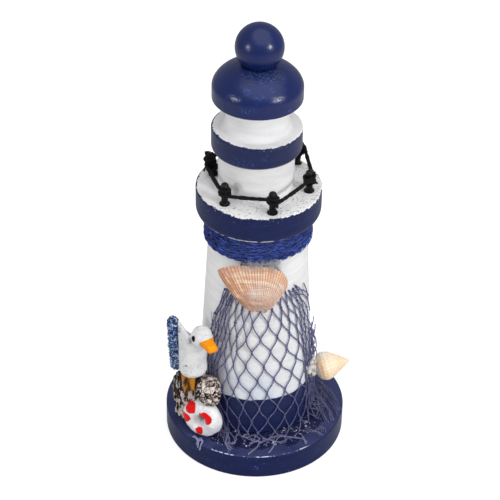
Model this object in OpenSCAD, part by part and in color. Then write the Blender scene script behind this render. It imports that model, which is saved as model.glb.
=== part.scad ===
// Lighthouse ornament: a turned and painted wooden tower with a railed gallery, a rope binding,
// a fishing net, two shells and a small gull group, all on a round base.
// Millimetres, +Z up. The origin is the centre of the base's underside and -Y is the front.

/* [Base] */
// Diameter of the round base
base_d = 90; // [84:1:110]
// Thickness of the base
base_t = 13; // [9:0.5:18]
// Rounding of the base's two edges
base_edge = 0.8; // [0.5:0.1:3]

/* [Tower] */
// Height of the tower between the base and the gallery
tower_h = 116; // [108:1:150]
// Diameter of the tower at its foot
tower_foot_d = 58.4; // [52:0.2:62]
// Diameter of the tower under the gallery
tower_top_d = 46; // [42:0.2:50]

/* [Gallery] */
// Diameter of the gallery disc
gallery_d = 59.2; // [58:0.2:68]
// Thickness of the gallery disc
gallery_t = 14.5; // [12:0.5:20]
// Rounding of the gallery's lower edge
gallery_under = 4; // [2:0.5:7]

/* [Lantern] */
// Offset to the side of the glued lantern stack from the tower's axis
stack_x = -1.4; // [-2:0.1:2]
// Offset to the back of the glued lantern stack from the tower's axis
stack_y = 2.4; // [-2:0.1:3]
// Diameter of the lantern room
room_d = 35.6; // [30:0.2:37]
// Height of the lantern room
room_h = 18.4; // [16:0.1:28]
// Diameter of the canopy disc over the lantern room
canopy_d = 42.2; // [38:0.2:46]
// Thickness of the canopy disc
canopy_t = 12.1; // [8:0.1:16]
// Rounding of the canopy's lower edge
canopy_under = 3; // [1:0.5:4]
// Diameter of the neck between the canopy and the roof
neck_d = 29; // [24:0.2:33]
// Height of the neck
neck_h = 14.5; // [10:0.5:20]
// Radius of the hollow fillet at the neck's foot
neck_fillet = 2.5; // [1:0.5:4]

/* [Roof] */
// Widest diameter of the roof
roof_d = 41.8; // [38:0.2:48]
// Height of the roof's upright rim
roof_rim = 6.5; // [4:0.5:9]
// Height of the roof's dome above the rim
roof_dome_h = 11; // [8:0.5:16]
// Diameter of the flat on the dome that the ball sits on
roof_seat_d = 16.4; // [14:0.2:20]
// Offset to the side of the ball from the lantern stack
ball_x = 0.5; // [-1:0.1:1]
// Diameter of the ball on top
ball_d = 22.3; // [18:0.2:26]
// Height of the slice that is cut off the ball where it meets the roof
ball_cut = 2.7; // [2:0.1:4]

/* [Inside fixings] */
// Diameter of the wooden dowels
dowel_d = 6; // [4:0.5:8]
// Depth of each dowel in the piece at either end
dowel_in = 6; // [5:0.5:6.5]
// Gap between a dowel or screw and its hole, filled with glue on the real object
glue_gap = 0.1; // [0.05:0.01:0.2]
// Shank diameter of the screw that holds the base
screw_d = 4; // [3:0.5:5]
// Length of that screw
screw_l = 32; // [26:1:50]
// Head diameter of that screw
screw_head_d = 8; // [7:0.5:10]

/* [Railing] */
// Height of a railing post above the deck
post_h = 11.5; // [9:0.5:15]
// Diameter of a post's shaft
post_d = 3.2; // [2.6:0.1:3.8]
// Diameter of a post's flared foot
post_foot_d = 5; // [4.2:0.1:6]
// Diameter of a post's rounded cap
post_cap_d = 3.9; // [3.4:0.1:4.5]
// Diameter of the pin under a post
pin_d = 1.6; // [1.2:0.1:2]
// Depth of that pin in the deck
pin_in = 4; // [3:0.5:6]
// Height of the railing cord where it meets a post
rail_z = 5.9; // [4.5:0.1:6.5]
// Diameter of the railing cord
rail_cord_d = 1.4; // [1:0.1:1.6]

/* [Rope binding] */
// Number of turns of rope under the gallery
wrap_turns = 6; // [3:1:7]
// Diameter of that rope
wrap_cord_d = 1.5; // [1.2:0.05:1.9]
// Clear gap between two turns
wrap_gap = 0.5; // [0.42:0.01:0.8]

/* [Net] */
// Width of the net's cord
net_cord = 0.75; // [0.5:0.05:0.9]
// Clear gap between the net and what it lies on
net_clear = 0.25; // [0.2:0.05:0.4]
// Distance from the rope binding down to the net's first row of knots
net_drop = 18; // [16:0.5:20]
// Distance between two rows of knots
net_pitch = 8.27; // [8:0.01:9]
// Thickness of the bunched net above the first row
gather_t = 2.2; // [1.5:0.1:2.5]

/* [Shells] */
// Width scale of the fan shell, 1 is 33 mm wide
clam_size = 1; // [0.85:0.01:1.05]
// Height of the fan shell's bulge
clam_bulge = 8; // [5:0.5:10]
// Wall of the fan shell
clam_wall = 1.1; // [0.9:0.1:1.5]
// Length of the whelk shell
whelk_l = 18; // [16:0.5:22]
// Widest diameter of the whelk shell
whelk_d = 14.6; // [12:0.2:15]

/* [Gull group] */
// Outer diameter of the life ring
ring_d = 21; // [18:0.5:22]
// Thickness of the life ring's tube
ring_tube = 8.5; // [6:0.5:9]
// Height of the gull's perch above the base
perch_h = 34.5; // [33:0.5:36]
// Diameter of the gull's head
head_d = 10.9; // [10.4:0.1:12]
// Thickness of a wing
wing_t = 2.4; // [2:0.1:3]

/* [Hidden] */

NAVY = "#262f5e";
WHITE = "#eeeeee";
WOOD = "#c9a26b";
STEEL = "#a8abb0";
BLACK = "#1a1a1c";
ROPE = "#26357f";
NET = "#4a4f7c";
GLUE = "#9aa0b8";
CLAM = "#dcb48e";
WHELK = "#e8cdaa";
ROCK = "#5d4a3c";
PEBBLE = "#a5938b";
ORANGE = "#f59a1c";
LEG = "#a06018";
SPECKLE = "#4464ae";

fine = 96;
eps = 0.01;

// Heights of the stack's joints
tower_z = base_t;
gallery_z = tower_z + tower_h;
deck_z = gallery_z + gallery_t;
canopy_z = deck_z + room_h;
neck_z = canopy_z + canopy_t;
roof_z = neck_z + neck_h;
seat_z = roof_z + roof_rim + roof_dome_h;
ball_z = seat_z - ball_cut + ball_d / 2;

function tower_r(z) = let (t = (z - tower_z) / tower_h) (tower_foot_d * (1 - t) + tower_top_d * t) / 2;
function unit(v) = v / norm(v);
function mix(a, b, t) = a + (b - a) * t;
function clamp01(x) = min(max(x, 0), 1);
function ease(x) = let (t = clamp01(x)) t * t * (3 - 2 * t);
function polar(r, a, z) = [r * cos(a), r * sin(a), z];
function arc(c, r, a0, a1, n = 8) = [for (i = [0:n]) let (a = mix(a0, a1, i / n)) c + r * [cos(a), sin(a)]];

// Solid of revolution about Z from an outline of [radius, height] points
module turned(outline) {
    rotate_extrude($fn = fine) polygon(outline);
}

// Closed skin over a list of rings with equal numbers of points, each ring counterclockwise
// when seen from the end of the list
module loft(rings) {
    m = len(rings[0]);
    n = len(rings);
    points = concat([for (ring = rings) each ring], [centroid(rings[0]), centroid(rings[n - 1])]);
    sides = [for (i = [0:n - 2], j = [0:m - 1])
        let (a = i * m + j, b = i * m + (j + 1) % m, c = a + m, d = b + m)
        each [[c, d, b], [c, b, a]]];
    start = [for (j = [0:m - 1]) [m * n, j, (j + 1) % m]];
    end = [for (j = [0:m - 1]) [m * n + 1, m * (n - 1) + (j + 1) % m, m * (n - 1) + j]];
    polyhedron(concat(points), concat(sides, start, end), convexity = 8);
}
function centroid(ring) = [for (k = [0:2]) let (v = [for (p = ring) p[k]]) v * [for (p = ring) 1] / len(ring)];

// Direction of a path at point i
function heading(path, i) = unit(path[min(i + 1, len(path) - 1)] - path[max(i - 1, 0)]);
// Cord along a path that never runs upright
module cord(path, d, sides) {
    loft([for (i = [0:len(path) - 1])
        let (t = heading(path, i), s = unit(cross(t, [0, 0, 1])), u = cross(t, s))
        [for (j = [0:sides - 1]) let (a = 360 * j / sides) path[i] + d / 2 * (s * cos(a) + u * sin(a))]]);
}
// Least clear gap between stretches of one cord whose points are more than skip apart
function least_gap(path, d, skip) = min([for (i = [0:len(path) - 1 - skip], j = [i + skip:len(path) - 1])
    norm(path[i] - path[j])]) - d;

// Dowel that joins two pieces at the heights z0 and z1, and the hole for it
module dowel(z0, z1, gap = 0) {
    translate([0, 0, z0 - dowel_in - gap]) cylinder(d = dowel_d + 2 * gap, h = z1 - z0 + 2 * (dowel_in + gap), $fn = 48);
}
module on_stack() {
    translate([stack_x, stack_y, 0]) children();
}

// Base: a flat disc with softened edges, drilled and countersunk for the screw from below
base_r = base_d / 2;
module base_disc() {
    color(NAVY) difference() {
        turned(concat([[0, 0]],
            arc([base_r - base_edge, base_edge], base_edge, -90, 0),
            arc([base_r - base_edge, base_t - base_edge], base_edge, 0, 90),
            [[0, base_t]]));
        screw(glue_gap);
        translate([0, 0, -eps]) cylinder(d = screw_head_d + 2 * glue_gap, h = screw_sink + eps, $fn = 48);
    }
}

// Wood screw with a countersunk head, sunk a little below the base's underside
screw_sink = 0.6;
screw_head_h = (screw_head_d - screw_d) / 2;
module screw(gap) {
    translate([0, 0, screw_sink]) {
        cylinder(d1 = screw_head_d + 2 * gap, d2 = screw_d + 2 * gap, h = screw_head_h, $fn = 48);
        cylinder(d = screw_d + 2 * gap, h = screw_l - screw_tip_h + gap, $fn = 48);
        translate([0, 0, screw_l - screw_tip_h + gap]) cylinder(d1 = screw_d + 2 * gap, d2 = 0.6, h = screw_tip_h, $fn = 48);
    }
}
screw_tip_h = 6;
cross_recess = [4.2, 0.9, 1.4];
module base_screw() {
    color(STEEL) difference() {
        screw(0);
        for (a = [0, 90]) rotate(a) translate([0, 0, screw_sink]) cube([cross_recess[0], cross_recess[1], 2 * cross_recess[2]], center = true);
    }
}

// Tower: a plain cone with a screw hole below and a dowel hole above
module tower_body() {
    color(WHITE) difference() {
        translate([0, 0, tower_z]) cylinder(d1 = tower_foot_d, d2 = tower_top_d, h = tower_h, $fn = fine);
        screw(glue_gap);
        dowel(gallery_z, gallery_z, glue_gap);
    }
}

// Gallery: a thick disc with a well rounded lower edge and a hole for each post's pin
gallery_r = gallery_d / 2;
gallery_edge = 0.8;
module gallery_disc() {
    color(NAVY) difference() {
        translate([0, 0, gallery_z]) turned(concat([[0, 0]],
            arc([gallery_r - gallery_under, gallery_under], gallery_under, -90, 0),
            arc([gallery_r - gallery_edge, gallery_t - gallery_edge], gallery_edge, 0, 90),
            [[0, gallery_t]]));
        dowel(gallery_z, gallery_z, glue_gap);
        on_stack() dowel(deck_z, neck_z, glue_gap);
        for (i = [0:5]) at_post(i) translate([0, 0, -pin_in - glue_gap])
            cylinder(d = pin_d + 2 * glue_gap, h = pin_in + 1, $fn = 24);
    }
}
module gallery_dowel() {
    color(WOOD) dowel(gallery_z, gallery_z);
}

// Lantern stack: room, canopy, neck and roof, threaded on one dowel
module lantern_room() {
    color(WHITE) on_stack() difference() {
        translate([0, 0, deck_z]) cylinder(d = room_d, h = room_h, $fn = fine);
        dowel(deck_z, neck_z, glue_gap);
    }
}
canopy_r = canopy_d / 2;
canopy_edge = 0.6;
module lantern_canopy() {
    color(NAVY) on_stack() difference() {
        translate([0, 0, canopy_z]) turned(concat([[0, 0]],
            arc([canopy_r - canopy_under, canopy_under], canopy_under, -90, 0),
            arc([canopy_r - canopy_edge, canopy_t - canopy_edge], canopy_edge, 0, 90),
            [[0, canopy_t]]));
        dowel(deck_z, neck_z, glue_gap);
    }
}
neck_r = neck_d / 2;
module lantern_neck() {
    color(WHITE) on_stack() difference() {
        translate([0, 0, neck_z]) turned(concat([[0, 0]],
            arc([neck_r + neck_fillet, neck_fillet], neck_fillet, 270, 180),
            [[neck_r, neck_h], [0, neck_h]]));
        dowel(deck_z, neck_z, glue_gap);
        dowel(roof_z, roof_z, glue_gap);
    }
}
module lantern_dowel() {
    color(WOOD) on_stack() dowel(deck_z, neck_z);
}

// Roof: an upright rim with a softened lower edge under a dome that is cut flat for the ball
roof_r = roof_d / 2;
roof_under = 1;
dome_power = 1.12;
dome_end = acos(roof_seat_d / roof_d);
dome_axis = roof_dome_h / pow(sin(dome_end), dome_power);
module roof_dome() {
    color(NAVY) on_stack() difference() {
        translate([0, 0, roof_z]) turned(concat([[0, 0]],
            arc([roof_r - roof_under, roof_under], roof_under, -90, 0),
            [for (i = [0:16]) let (a = dome_end * i / 16) [roof_r * cos(a), roof_rim + dome_axis * pow(sin(a), dome_power)]],
            [[0, roof_rim + roof_dome_h]]));
        dowel(roof_z, roof_z, glue_gap);
        dowel(seat_z, seat_z, glue_gap);
    }
}
module roof_ball() {
    color(NAVY) on_stack() difference() {
        translate([ball_x, 0, ball_z]) sphere(d = ball_d, $fn = fine);
        translate([0, 0, seat_z - ball_d]) cylinder(d = 2 * ball_d, h = ball_d, $fn = 48);
        dowel(seat_z, seat_z, glue_gap);
    }
}
// Two equal dowels, one from the neck into the roof and one from the roof into the ball
module roof_dowels() {
    color(WOOD) on_stack() {
        dowel(seat_z, seat_z);
        dowel(roof_z, roof_z);
    }
}

// Rope binding: one unbroken helix on the tower's cone, close under the gallery
wrap_steps = 24;
wrap_pitch = wrap_cord_d + wrap_gap;
wrap_low = gallery_z - wrap_cord_d / 2 - net_clear - wrap_turns * wrap_pitch;
function wrap_point(k) = let (z = wrap_low + wrap_pitch * k / wrap_steps)
    polar((tower_r(z) + net_clear + wrap_cord_d / 2) / cos(180 / wrap_steps), 360 * k / wrap_steps + 90, z);
wrap_run = [for (k = [0:wrap_turns * wrap_steps]) wrap_point(k)];
wrap_path = concat([wrap_run[0] - wrap_cord_d * unit(wrap_run[1] - wrap_run[0])], wrap_run,
    [wrap_run[len(wrap_run) - 1] + wrap_cord_d * heading(wrap_run, len(wrap_run) - 1)]);
module rope_binding() {
    echo(rope_binding_least_gap = least_gap(wrap_run, wrap_cord_d, wrap_steps - 4));
    color(ROPE) cord(wrap_path, wrap_cord_d, 6);
}

// Railing posts stand unevenly, as they were pressed in by hand. Two of them lean outward.
post_angles = [162, 228, 285, 348, 406, 464];
post_reach = [22.4, 23.2, 24.6, 23.8, 25.4, 24.8];
post_lean = [13, 0, 0, 0, 12, 0];
posts = [for (i = [0:5]) polar(post_reach[i], post_angles[i], deck_z)];
function post_axis(i, h) = let (d = h * tan(post_lean[i]), a = post_angles[i])
    posts[i] + [d * cos(a), d * sin(a), h];
module at_post(i) {
    translate(posts[i]) rotate(post_angles[i]) translate([0, 0, post_foot_d / 2 * sin(post_lean[i])])
        rotate([0, post_lean[i], 0]) children();
}
module railing_post(i) {
    r = post_d / 2;
    cap_r = post_cap_d / 2;
    foot_r = post_foot_d / 2;
    flare = foot_r - r;
    color(BLACK) at_post(i - 1) {
        turned(concat([[0, 0], [foot_r, 0], [foot_r, 0.5]],
            arc([foot_r, 0.5 + flare], flare, 270, 180, 6),
            [[r, post_h - 1.6 * cap_r], [cap_r, post_h - 1.3 * cap_r]],
            arc([0, post_h - cap_r], cap_r, 0, 90)));
        translate([0, 0, -pin_in]) cylinder(d = pin_d, h = pin_in + 0.5, $fn = 24);
    }
}

// Railing rope: one cord that winds down each post by one full turn and a bit, then runs to the next.
// It starts and ends at the first post, where the last turn lies above the first.
rail_turn_r = (post_d + rail_cord_d) / 2 + 0.3;
rail_rise = rail_cord_d + 0.45;
rail_steps = 9;
function outward(d) = [d[1], -d[0]];
function side_angle(i) = let (d = posts[(i + 1) % 6] - posts[i % 6], o = outward(d)) atan2(o[1], o[0]);
function turn_at(i, h0, h1, start, sweep) = [for (k = [0:rail_steps])
    let (a = start + sweep * k / rail_steps, h = mix(h0, h1, k / rail_steps))
    post_axis(i, h) + polar(rail_turn_r, a, 0)];
function left_turn(a, b) = (b - a) % 360 < 0 ? (b - a) % 360 + 360 : (b - a) % 360;
rail_path = concat(
    turn_at(0, rail_z - rail_rise, rail_z, side_angle(0) - 360, 360),
    [for (i = [1:5]) each let (a = side_angle(i - 1), s = 360 + left_turn(a, side_angle(i)))
        turn_at(i, rail_z + rail_rise * s / 360, rail_z, a, s)],
    turn_at(0, rail_z + rail_rise, rail_z + 2 * rail_rise, side_angle(5), 360));
module railing_rope() {
    echo(railing_rope_least_gap = least_gap(rail_path, rail_cord_d, rail_steps - 2));
    color(BLACK) cord(rail_path, rail_cord_d, 8);
}

// Net: rows of knots run down the tower's front and out over the base. Columns crowd together at
// both sides. Each key is [row, [[column, azimuth], ...]].
net_rows_up = 11;
net_rows = net_rows_up + 1;
net_cols = 15;
net_keys = [
    [0, [[0, -127], [5, -112], [8, -93], [9, -80], [12, -58], [15, -42]]],
    [2, [[0, -140], [5, -121], [8, -94], [9, -77], [10, -63], [12, -43], [15, -24]]],
    [4, [[0, -149], [5, -122], [7, -110], [8, -93.5], [9, -75], [10, -56], [11, -39], [15, -16]]],
    [6, [[0, -154], [5, -132], [7, -106.5], [8, -88], [9, -70.5], [10, -50], [11, -30.5], [15, -12]]],
    [8, [[0, -143], [5, -128], [6, -118], [8, -85], [9, -67], [10, -47], [11, -28], [15, -8]]],
    [10, [[0, -128], [5, -115], [8, -86], [10, -54], [12, -26], [15, -6]]],
    [12, [[0, -114], [5, -104], [8, -86], [10, -58], [12, -32], [15, -4]]]];
gather_top = wrap_low - wrap_cord_d / 2 - net_clear;
net_top = gather_top - net_drop;
net_reach = [5, 11];
net_spread = 3;
function net_azimuth(c, r) =
    let (k = max([for (i = [0:len(net_keys) - 2]) net_keys[i][0] <= r ? i : 0]),
         t = (r - net_keys[k][0]) / (net_keys[k + 1][0] - net_keys[k][0]))
    mix(lookup(c, net_keys[k][1]), lookup(c, net_keys[k + 1][1]), t);
net_off = net_clear + net_cord / 2;
function net_wave(c, r) = 0.4 * sin(137 * c + 71 * r);
function net_knot(c, r) =
    let (a = net_azimuth(c, r) + net_wave(c, r), z = max(net_top - net_pitch * r, base_t + 2.6))
    r < net_rows_up ? polar(tower_r(z) + net_off, a, z + (z > base_t + 3 ? net_wave(r, c) : 0))
                    : polar(tower_r(base_t) + net_reach[r - net_rows_up] + net_spread * (r - net_rows_up) * ease((c - 9) / 5),
                            a, base_t + net_off);
function net_normal(a, r) = r < net_rows_up - 1 ? polar(1, a, 0) : r < net_rows_up ? polar(0.7, a, 0.7) : [0, 0, 1];
// The four corners of a knot, then the same four on the underside
function net_corners(c, r) =
    let (p = net_knot(c, r), a = atan2(p[1], p[0]), n = net_normal(a, r), h = [-sin(a), cos(a), 0],
         v = -cross(n, h), half = norm(net_knot(c + 0.5, r) - net_knot(c - 0.5, r)) / 2,
         w = net_cord / 2, d = min(w * sqrt(half * half + net_pitch * net_pitch) / half, 0.3 * net_pitch),
         ring = [-v * d, h * w, v * d, -h * w])
    concat([for (q = ring) p + q + n * w], [for (q = ring) p + q - n * w]);
function row_count(r) = r % 2 == 0 ? net_cols + 1 : net_cols;
function row_start(r) = floor(r / 2) * (2 * net_cols + 1) + (r % 2) * (net_cols + 1);
function knot(r, i) = 8 * (row_start(r) + i);
// Outer face, inner face and walls of one flat stretch whose corners run clockwise from outside
function slab(f, walls) = concat(
    [[f[0], f[1], f[2]], [f[0], f[2], f[3]], [f[2] + 4, f[1] + 4, f[0] + 4], [f[3] + 4, f[2] + 4, f[0] + 4]],
    [for (k = walls) let (p = f[k], q = f[(k + 1) % 4]) each [[q, p, p + 4], [q, p + 4, q + 4]]]);
module fishing_net() {
    points = [for (r = [0:net_rows], i = [0:row_count(r) - 1]) each net_corners(i + (r % 2) / 2, r)];
    knots = [for (r = [0:net_rows], i = [0:row_count(r) - 1])
        let (k = knot(r, i), even = r % 2 == 0,
             up_right = r > 0 && (even ? i < net_cols : true), up_left = r > 0 && (even ? i > 0 : true),
             down_right = r < net_rows && (even ? i < net_cols : true),
             down_left = r < net_rows && (even ? i > 0 : true))
        each slab([k, k + 1, k + 2, k + 3],
            concat(up_right ? [] : [0], down_right ? [] : [1], down_left ? [] : [2], up_left ? [] : [3]))];
    right_runs = [for (r = [0:net_rows - 1], i = [0:row_count(r) - 1]) let (even = r % 2 == 0)
        if (!even || i < net_cols) let (a = knot(r, i), b = knot(r + 1, even ? i : i + 1))
        each slab([a + 1, b, b + 3, a + 2], [0, 2])];
    left_runs = [for (r = [0:net_rows - 1], i = [0:row_count(r) - 1]) let (even = r % 2 == 0)
        if (!even || i > 0) let (a = knot(r, i), b = knot(r + 1, even ? i - 1 : i))
        each slab([a + 2, b + 1, b, a + 3], [0, 2])];
    color(NET) polyhedron(points, concat(right_runs, left_runs, knots), convexity = 20);
}

// The net's top, gathered into one flat bunch between the rope binding and the first row of knots
gather_steps = 12;
gather_swell = 0.3;
gather_low = net_top + net_cord + 1;
function gather_ring(t) =
    let (z = mix(gather_low, gather_top, t), a0 = mix(-124, -108, ease(t)), a1 = mix(-50, -70, ease(t)),
         r0 = tower_r(z) + net_clear)
    concat([for (i = [0:gather_steps]) polar(r0 + gather_swell + gather_t * sin(15 + 150 * i / gather_steps), mix(a0, a1, i / gather_steps), z)],
           [for (i = [gather_steps:-1:0]) polar(r0 + 0.1, mix(a0, a1, i / gather_steps), z)]);
module net_gather() {
    color(NET) loft([for (t = [0:0.25:1]) gather_ring(t)]);
}

// Glue at the tower's foot, under the net
glue_w = 3.2;
glue_h = 2.4;
module glue_fillet() {
    foot = tower_r(base_t) + eps;
    color(GLUE) rotate([0, 0, -152]) rotate_extrude(angle = 150, $fn = fine)
        polygon([[foot, base_t], [foot + glue_w, base_t], [foot + glue_w * 0.3, base_t + glue_h * 0.35],
                 [tower_r(base_t + glue_h) + eps, base_t + glue_h]]);
}

// Fan shell: ribs spread from the beak at the bottom to the margin at the top. Its rim lies in one
// plane that leans on the gathered net.
clam_z = net_top - 5.8;
clam_out = 2.08;
clam_at = [1.6, -tower_r(clam_z) - clam_out, clam_z];
clam_lean = 2.3;
// Reach of the margin from the beak, as [angle, length]
clam_margin = [[32, 7], [43, 12], [46, 18], [55, 21.7], [66, 24.2], [76, 25], [97, 25.2], [107, 26.4],
               [116, 27.9], [127, 29.9], [132, 29.9], [139, 22], [144, 17.4], [156, 10]];
clam_ribs = 24;
clam_rows = [0, 0.1, 0.22, 0.36, 0.52, 0.7, 0.86, 1];
clam_rib_h = 0.28;
clam_a0 = clam_margin[len(clam_margin) - 1][0];
clam_a1 = clam_margin[0][0];
function clam_side(p) = sqrt(max(1 - pow(abs(p), 4), 0));
function clam_rise(t) = t > 0.3 ? 1 - pow((t - 0.3) / 0.7, 2) : 1 - 0.75 * pow((0.3 - t) / 0.3, 2);
function clam_point(j, t, inset) =
    let (s = j / (2 * clam_ribs), a = mix(clam_a0, clam_a1, s), p = 2 * s - 1,
         m = clam_size * lookup(a, clam_margin) * t,
         side = mix(1, clam_side(p), clamp01(t / 0.2)),
         h = clam_bulge * clam_rise(t) * side,
         rib = clam_rib_h * (j % 2) * clamp01(4 * t) * side)
    inset ? [m * 0.93 * cos(a), 1.2 + m * 0.92 * sin(a), max(h - clam_wall, 0) + 0.02]
          : [m * cos(a), m * sin(a), h + rib];
module fan_shell() {
    n = 2 * clam_ribs + 1;
    rows = len(clam_rows);
    outer = [for (t = clam_rows, j = [0:n - 1]) clam_point(j, t, false)];
    inner = [for (t = clam_rows, j = [0:n - 1]) clam_point(j, t, true)];
    skin = [for (i = [1:rows - 2], j = [0:n - 2]) let (a = i * n + j, b = a + 1, c = a + n, d = c + 1)
        each [[c, d, b], [c, b, a]]];
    tip = [for (j = [0:n - 2]) [n + j, n + j + 1, 0]];
    half = concat(skin, tip);
    base = len(outer);
    rim_path = concat([0], [for (i = [1:rows - 1]) i * n], [for (j = [1:n - 1]) (rows - 1) * n + j],
        [for (i = [rows - 2:-1:1]) i * n + n - 1]);
    rim = [for (k = [0:len(rim_path) - 1]) let (p = rim_path[k], q = rim_path[(k + 1) % len(rim_path)])
        each [[q, p, base + p], [q, base + p, base + q]]];
    color(CLAM) translate(clam_at) rotate([90 + clam_lean, 0, 0])
        polyhedron(concat(outer, inner),
            concat(half, [for (f = half) [f[2] + base, f[1] + base, f[0] + base]], rim), convexity = 8);
}

// Whelk: a coiled cone whose whorls bulge between spiral seams
whelk_up = 23.4;
whelk_z = base_t + whelk_up;
whelk_out = 2.07;
whelk_at = polar(tower_r(whelk_z) + whelk_out, -6.9, whelk_z);
whelk_turn = [0, -12, 8];
whelk_whorls = 4.5;
whelk_rings = 34;
whelk_sides = 16;
// Outline as [share of the length from the blunt end, share of the largest radius]
whelk_outline = [[0, 0.34], [0.05, 0.62], [0.12, 0.84], [0.22, 0.98], [0.32, 1], [0.45, 0.9],
                 [0.6, 0.68], [0.75, 0.46], [0.9, 0.2], [1, 0.06]];
function whelk_ring(t) = [for (j = [0:whelk_sides - 1])
    let (a = 360 * j / whelk_sides, seam = 360 * whelk_whorls * pow(t, 1.3) - a,
         r = whelk_d / 2 * lookup(t, whelk_outline) * (1 - 0.07 * ease(t * 4) * pow(cos(seam / 2), 8)))
    [whelk_l * t, r * cos(a), r * sin(a)]];
module whelk_shell() {
    color(WHELK) translate(whelk_at) rotate(whelk_turn)
        loft([for (i = [0:whelk_rings]) whelk_ring(i / whelk_rings)]);
}

// Glue behind the two shells: a short stub that carries the whelk and a blob inside the fan shell,
// which holds it to the gathered net
whelk_stub = 4;
blob_up = 10.3;
module shell_glue() {
    blob_z = clam_at[2] + blob_up;
    blob_near = tower_r(blob_z) + net_clear + gather_swell + gather_t + 0.3;
    color(GLUE) {
        difference() {
            translate(whelk_at) rotate(whelk_turn) rotate([0, 90, 0]) translate([0, 0, -whelk_stub - 0.1])
                cylinder(d1 = 6.4, d2 = 4.6, h = whelk_stub, $fn = 64);
            translate([0, 0, tower_z]) cylinder(d1 = tower_foot_d, d2 = tower_top_d, h = tower_h, $fn = fine);
        }
        translate([clam_at[0], -blob_near, blob_z]) rotate([90, 0, 0])
            cylinder(d1 = 9, d2 = 4, h = clam_bulge - clam_wall - (blob_near + clam_at[1]) - 0.5, $fn = 64);
    }
}

// Life ring: stands upright on the base in front of the rocks
ring_at = [-25.5, -27.7];
ring_turn = -118;
ring_r = (ring_d - ring_tube) / 2;
module ring_shape(gap) {
    translate([ring_at[0], ring_at[1], base_t + ring_d / 2]) rotate([0, 0, ring_turn]) rotate([0, 90, 0])
        rotate_extrude($fn = 64) translate([ring_r, 0]) circle(d = ring_tube + 2 * gap, $fn = 32);
}
module life_ring() {
    color(WHITE) difference() {
        ring_shape(0);
        translate([0, 0, base_t - ring_tube]) cylinder(r = base_r, h = ring_tube + 0.15, $fn = 48);
    }
}

// Rocks, each a hull of a few stones at [x, y, height above the base, radius]
rock_gap = 31;
core_stones = [[-31.5, -17.5, 4, 4.5], [-35, -13.8, 3, 3.2], [-30.4, -18.6, 10, 5], [-34, -18.5, 20, 5], [-29, -22.5, 25, 5], [-31.5, -22.5, 29.5, 4.2]];
left_stones = [[-36.6, -13.4, 2, 2.8], [-37.4, -15, 13, 3], [-37.2, -16.4, 21, 3.6], [-35.8, -18, 28.6, 3.4]];
right_stones = [[-22.4, -26.6, 28.6, 6], [-21.8, -28.2, 25, 5.2], [-24.6, -28.4, 27, 4.4], [-20.6, -28.8, 22.6, 3]];
module stones(list) {
    hull() for (s = list) translate([s[0], s[1], base_t + s[2]]) sphere(r = s[3], $fn = 14);
}
module rock_room() {
    difference() {
        translate([0, 0, base_t]) cylinder(r = base_r + 1, h = perch_h + 20, $fn = fine);
        translate([0, 0, base_t - 1]) cylinder(r = rock_gap, h = perch_h + 22, $fn = fine);
    }
}
module rock_left() {
    color(ROCK) intersection() {
        stones(left_stones);
        rock_room();
    }
}
module rock_right() {
    color(PEBBLE) difference() {
        stones(right_stones);
        ring_shape(0.1);
    }
}
module rock_core() {
    color(ROCK) difference() {
        intersection() {
            stones(core_stones);
            rock_room();
        }
        stones(left_stones);
        stones(right_stones);
        ring_shape(0.1);
        gull_frame() gull_torso();
        bar_shape();
    }
}

// Gull: its own frame has +X ahead, +Y to its left and its origin at the perch
gull_at = [-29.8, -25.6];
gull_turn = -62;
gull_sides = 16;
// Sections as [ahead, left, height, half length, half width]
gull_sections = [[-0.6, 0, 2.4, 3.6, 4.2], [-0.6, 0, 3.1, 5.4, 6], [-0.5, 0, 5.2, 6.4, 6.9], [-0.4, 0, 9, 6.2, 6.6],
                 [0.2, 0.4, 13.5, 5.6, 6], [1.2, 1, 17.5, 5, 5.3], [2.2, 1.6, 21, 4.7, 5]];
head_at = [4.6, 2.1, 27.4];
head_r = head_d / 2;
head_cuts = [-50, -30, -10, 10, 30, 50, 70];
module gull_frame() {
    translate([gull_at[0], gull_at[1], base_t + perch_h]) rotate(gull_turn) children();
}
module gull_torso() {
    loft(concat(
        [for (s = gull_sections) [for (j = [0:gull_sides - 1]) let (a = 360 * j / gull_sides)
            [s[0] + s[3] * cos(a), s[1] + s[4] * sin(a), s[2]]]],
        [for (b = head_cuts) [for (j = [0:gull_sides - 1]) let (a = 360 * j / gull_sides)
            head_at + head_r * [cos(b) * cos(a), cos(b) * sin(a), sin(b)]]]));
}
// Beak: a thick blunt wedge
beak_l = 7;
module beak_shape() {
    translate(head_at) rotate(3) hull() {
        translate([head_r - 2, 0.2, 0]) rotate([0, 90, 0]) cylinder(d = 6.8, h = 1, $fn = 16);
        for (y = [-1.6, 1.2]) translate([head_r + beak_l - 1.4, y, -0.4]) sphere(d = 2.8, $fn = 12);
    }
}
eye_d = 2;
module eye_shapes() {
    for (s = [-1, 1]) translate(head_at) rotate(s * 80) rotate([0, -12, 0])
        translate([head_r - 0.6, 0, 0]) sphere(d = eye_d, $fn = 16);
}
module gull_body() {
    color(WHITE) gull_frame() difference() {
        gull_torso();
        beak_shape();
        eye_shapes();
    }
}
module gull_beak() {
    color(ORANGE) gull_frame() beak_shape();
}
module gull_eyes() {
    color(BLACK) gull_frame() eye_shapes();
}
// Wings: two raised plates that start at the body's right and left side and come together behind it
// in one thick speckled edge
bar_at = [-39.4, -21.6];
bar_d = 6;
bar_low = 3;
bar_high = 30.5;
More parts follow.
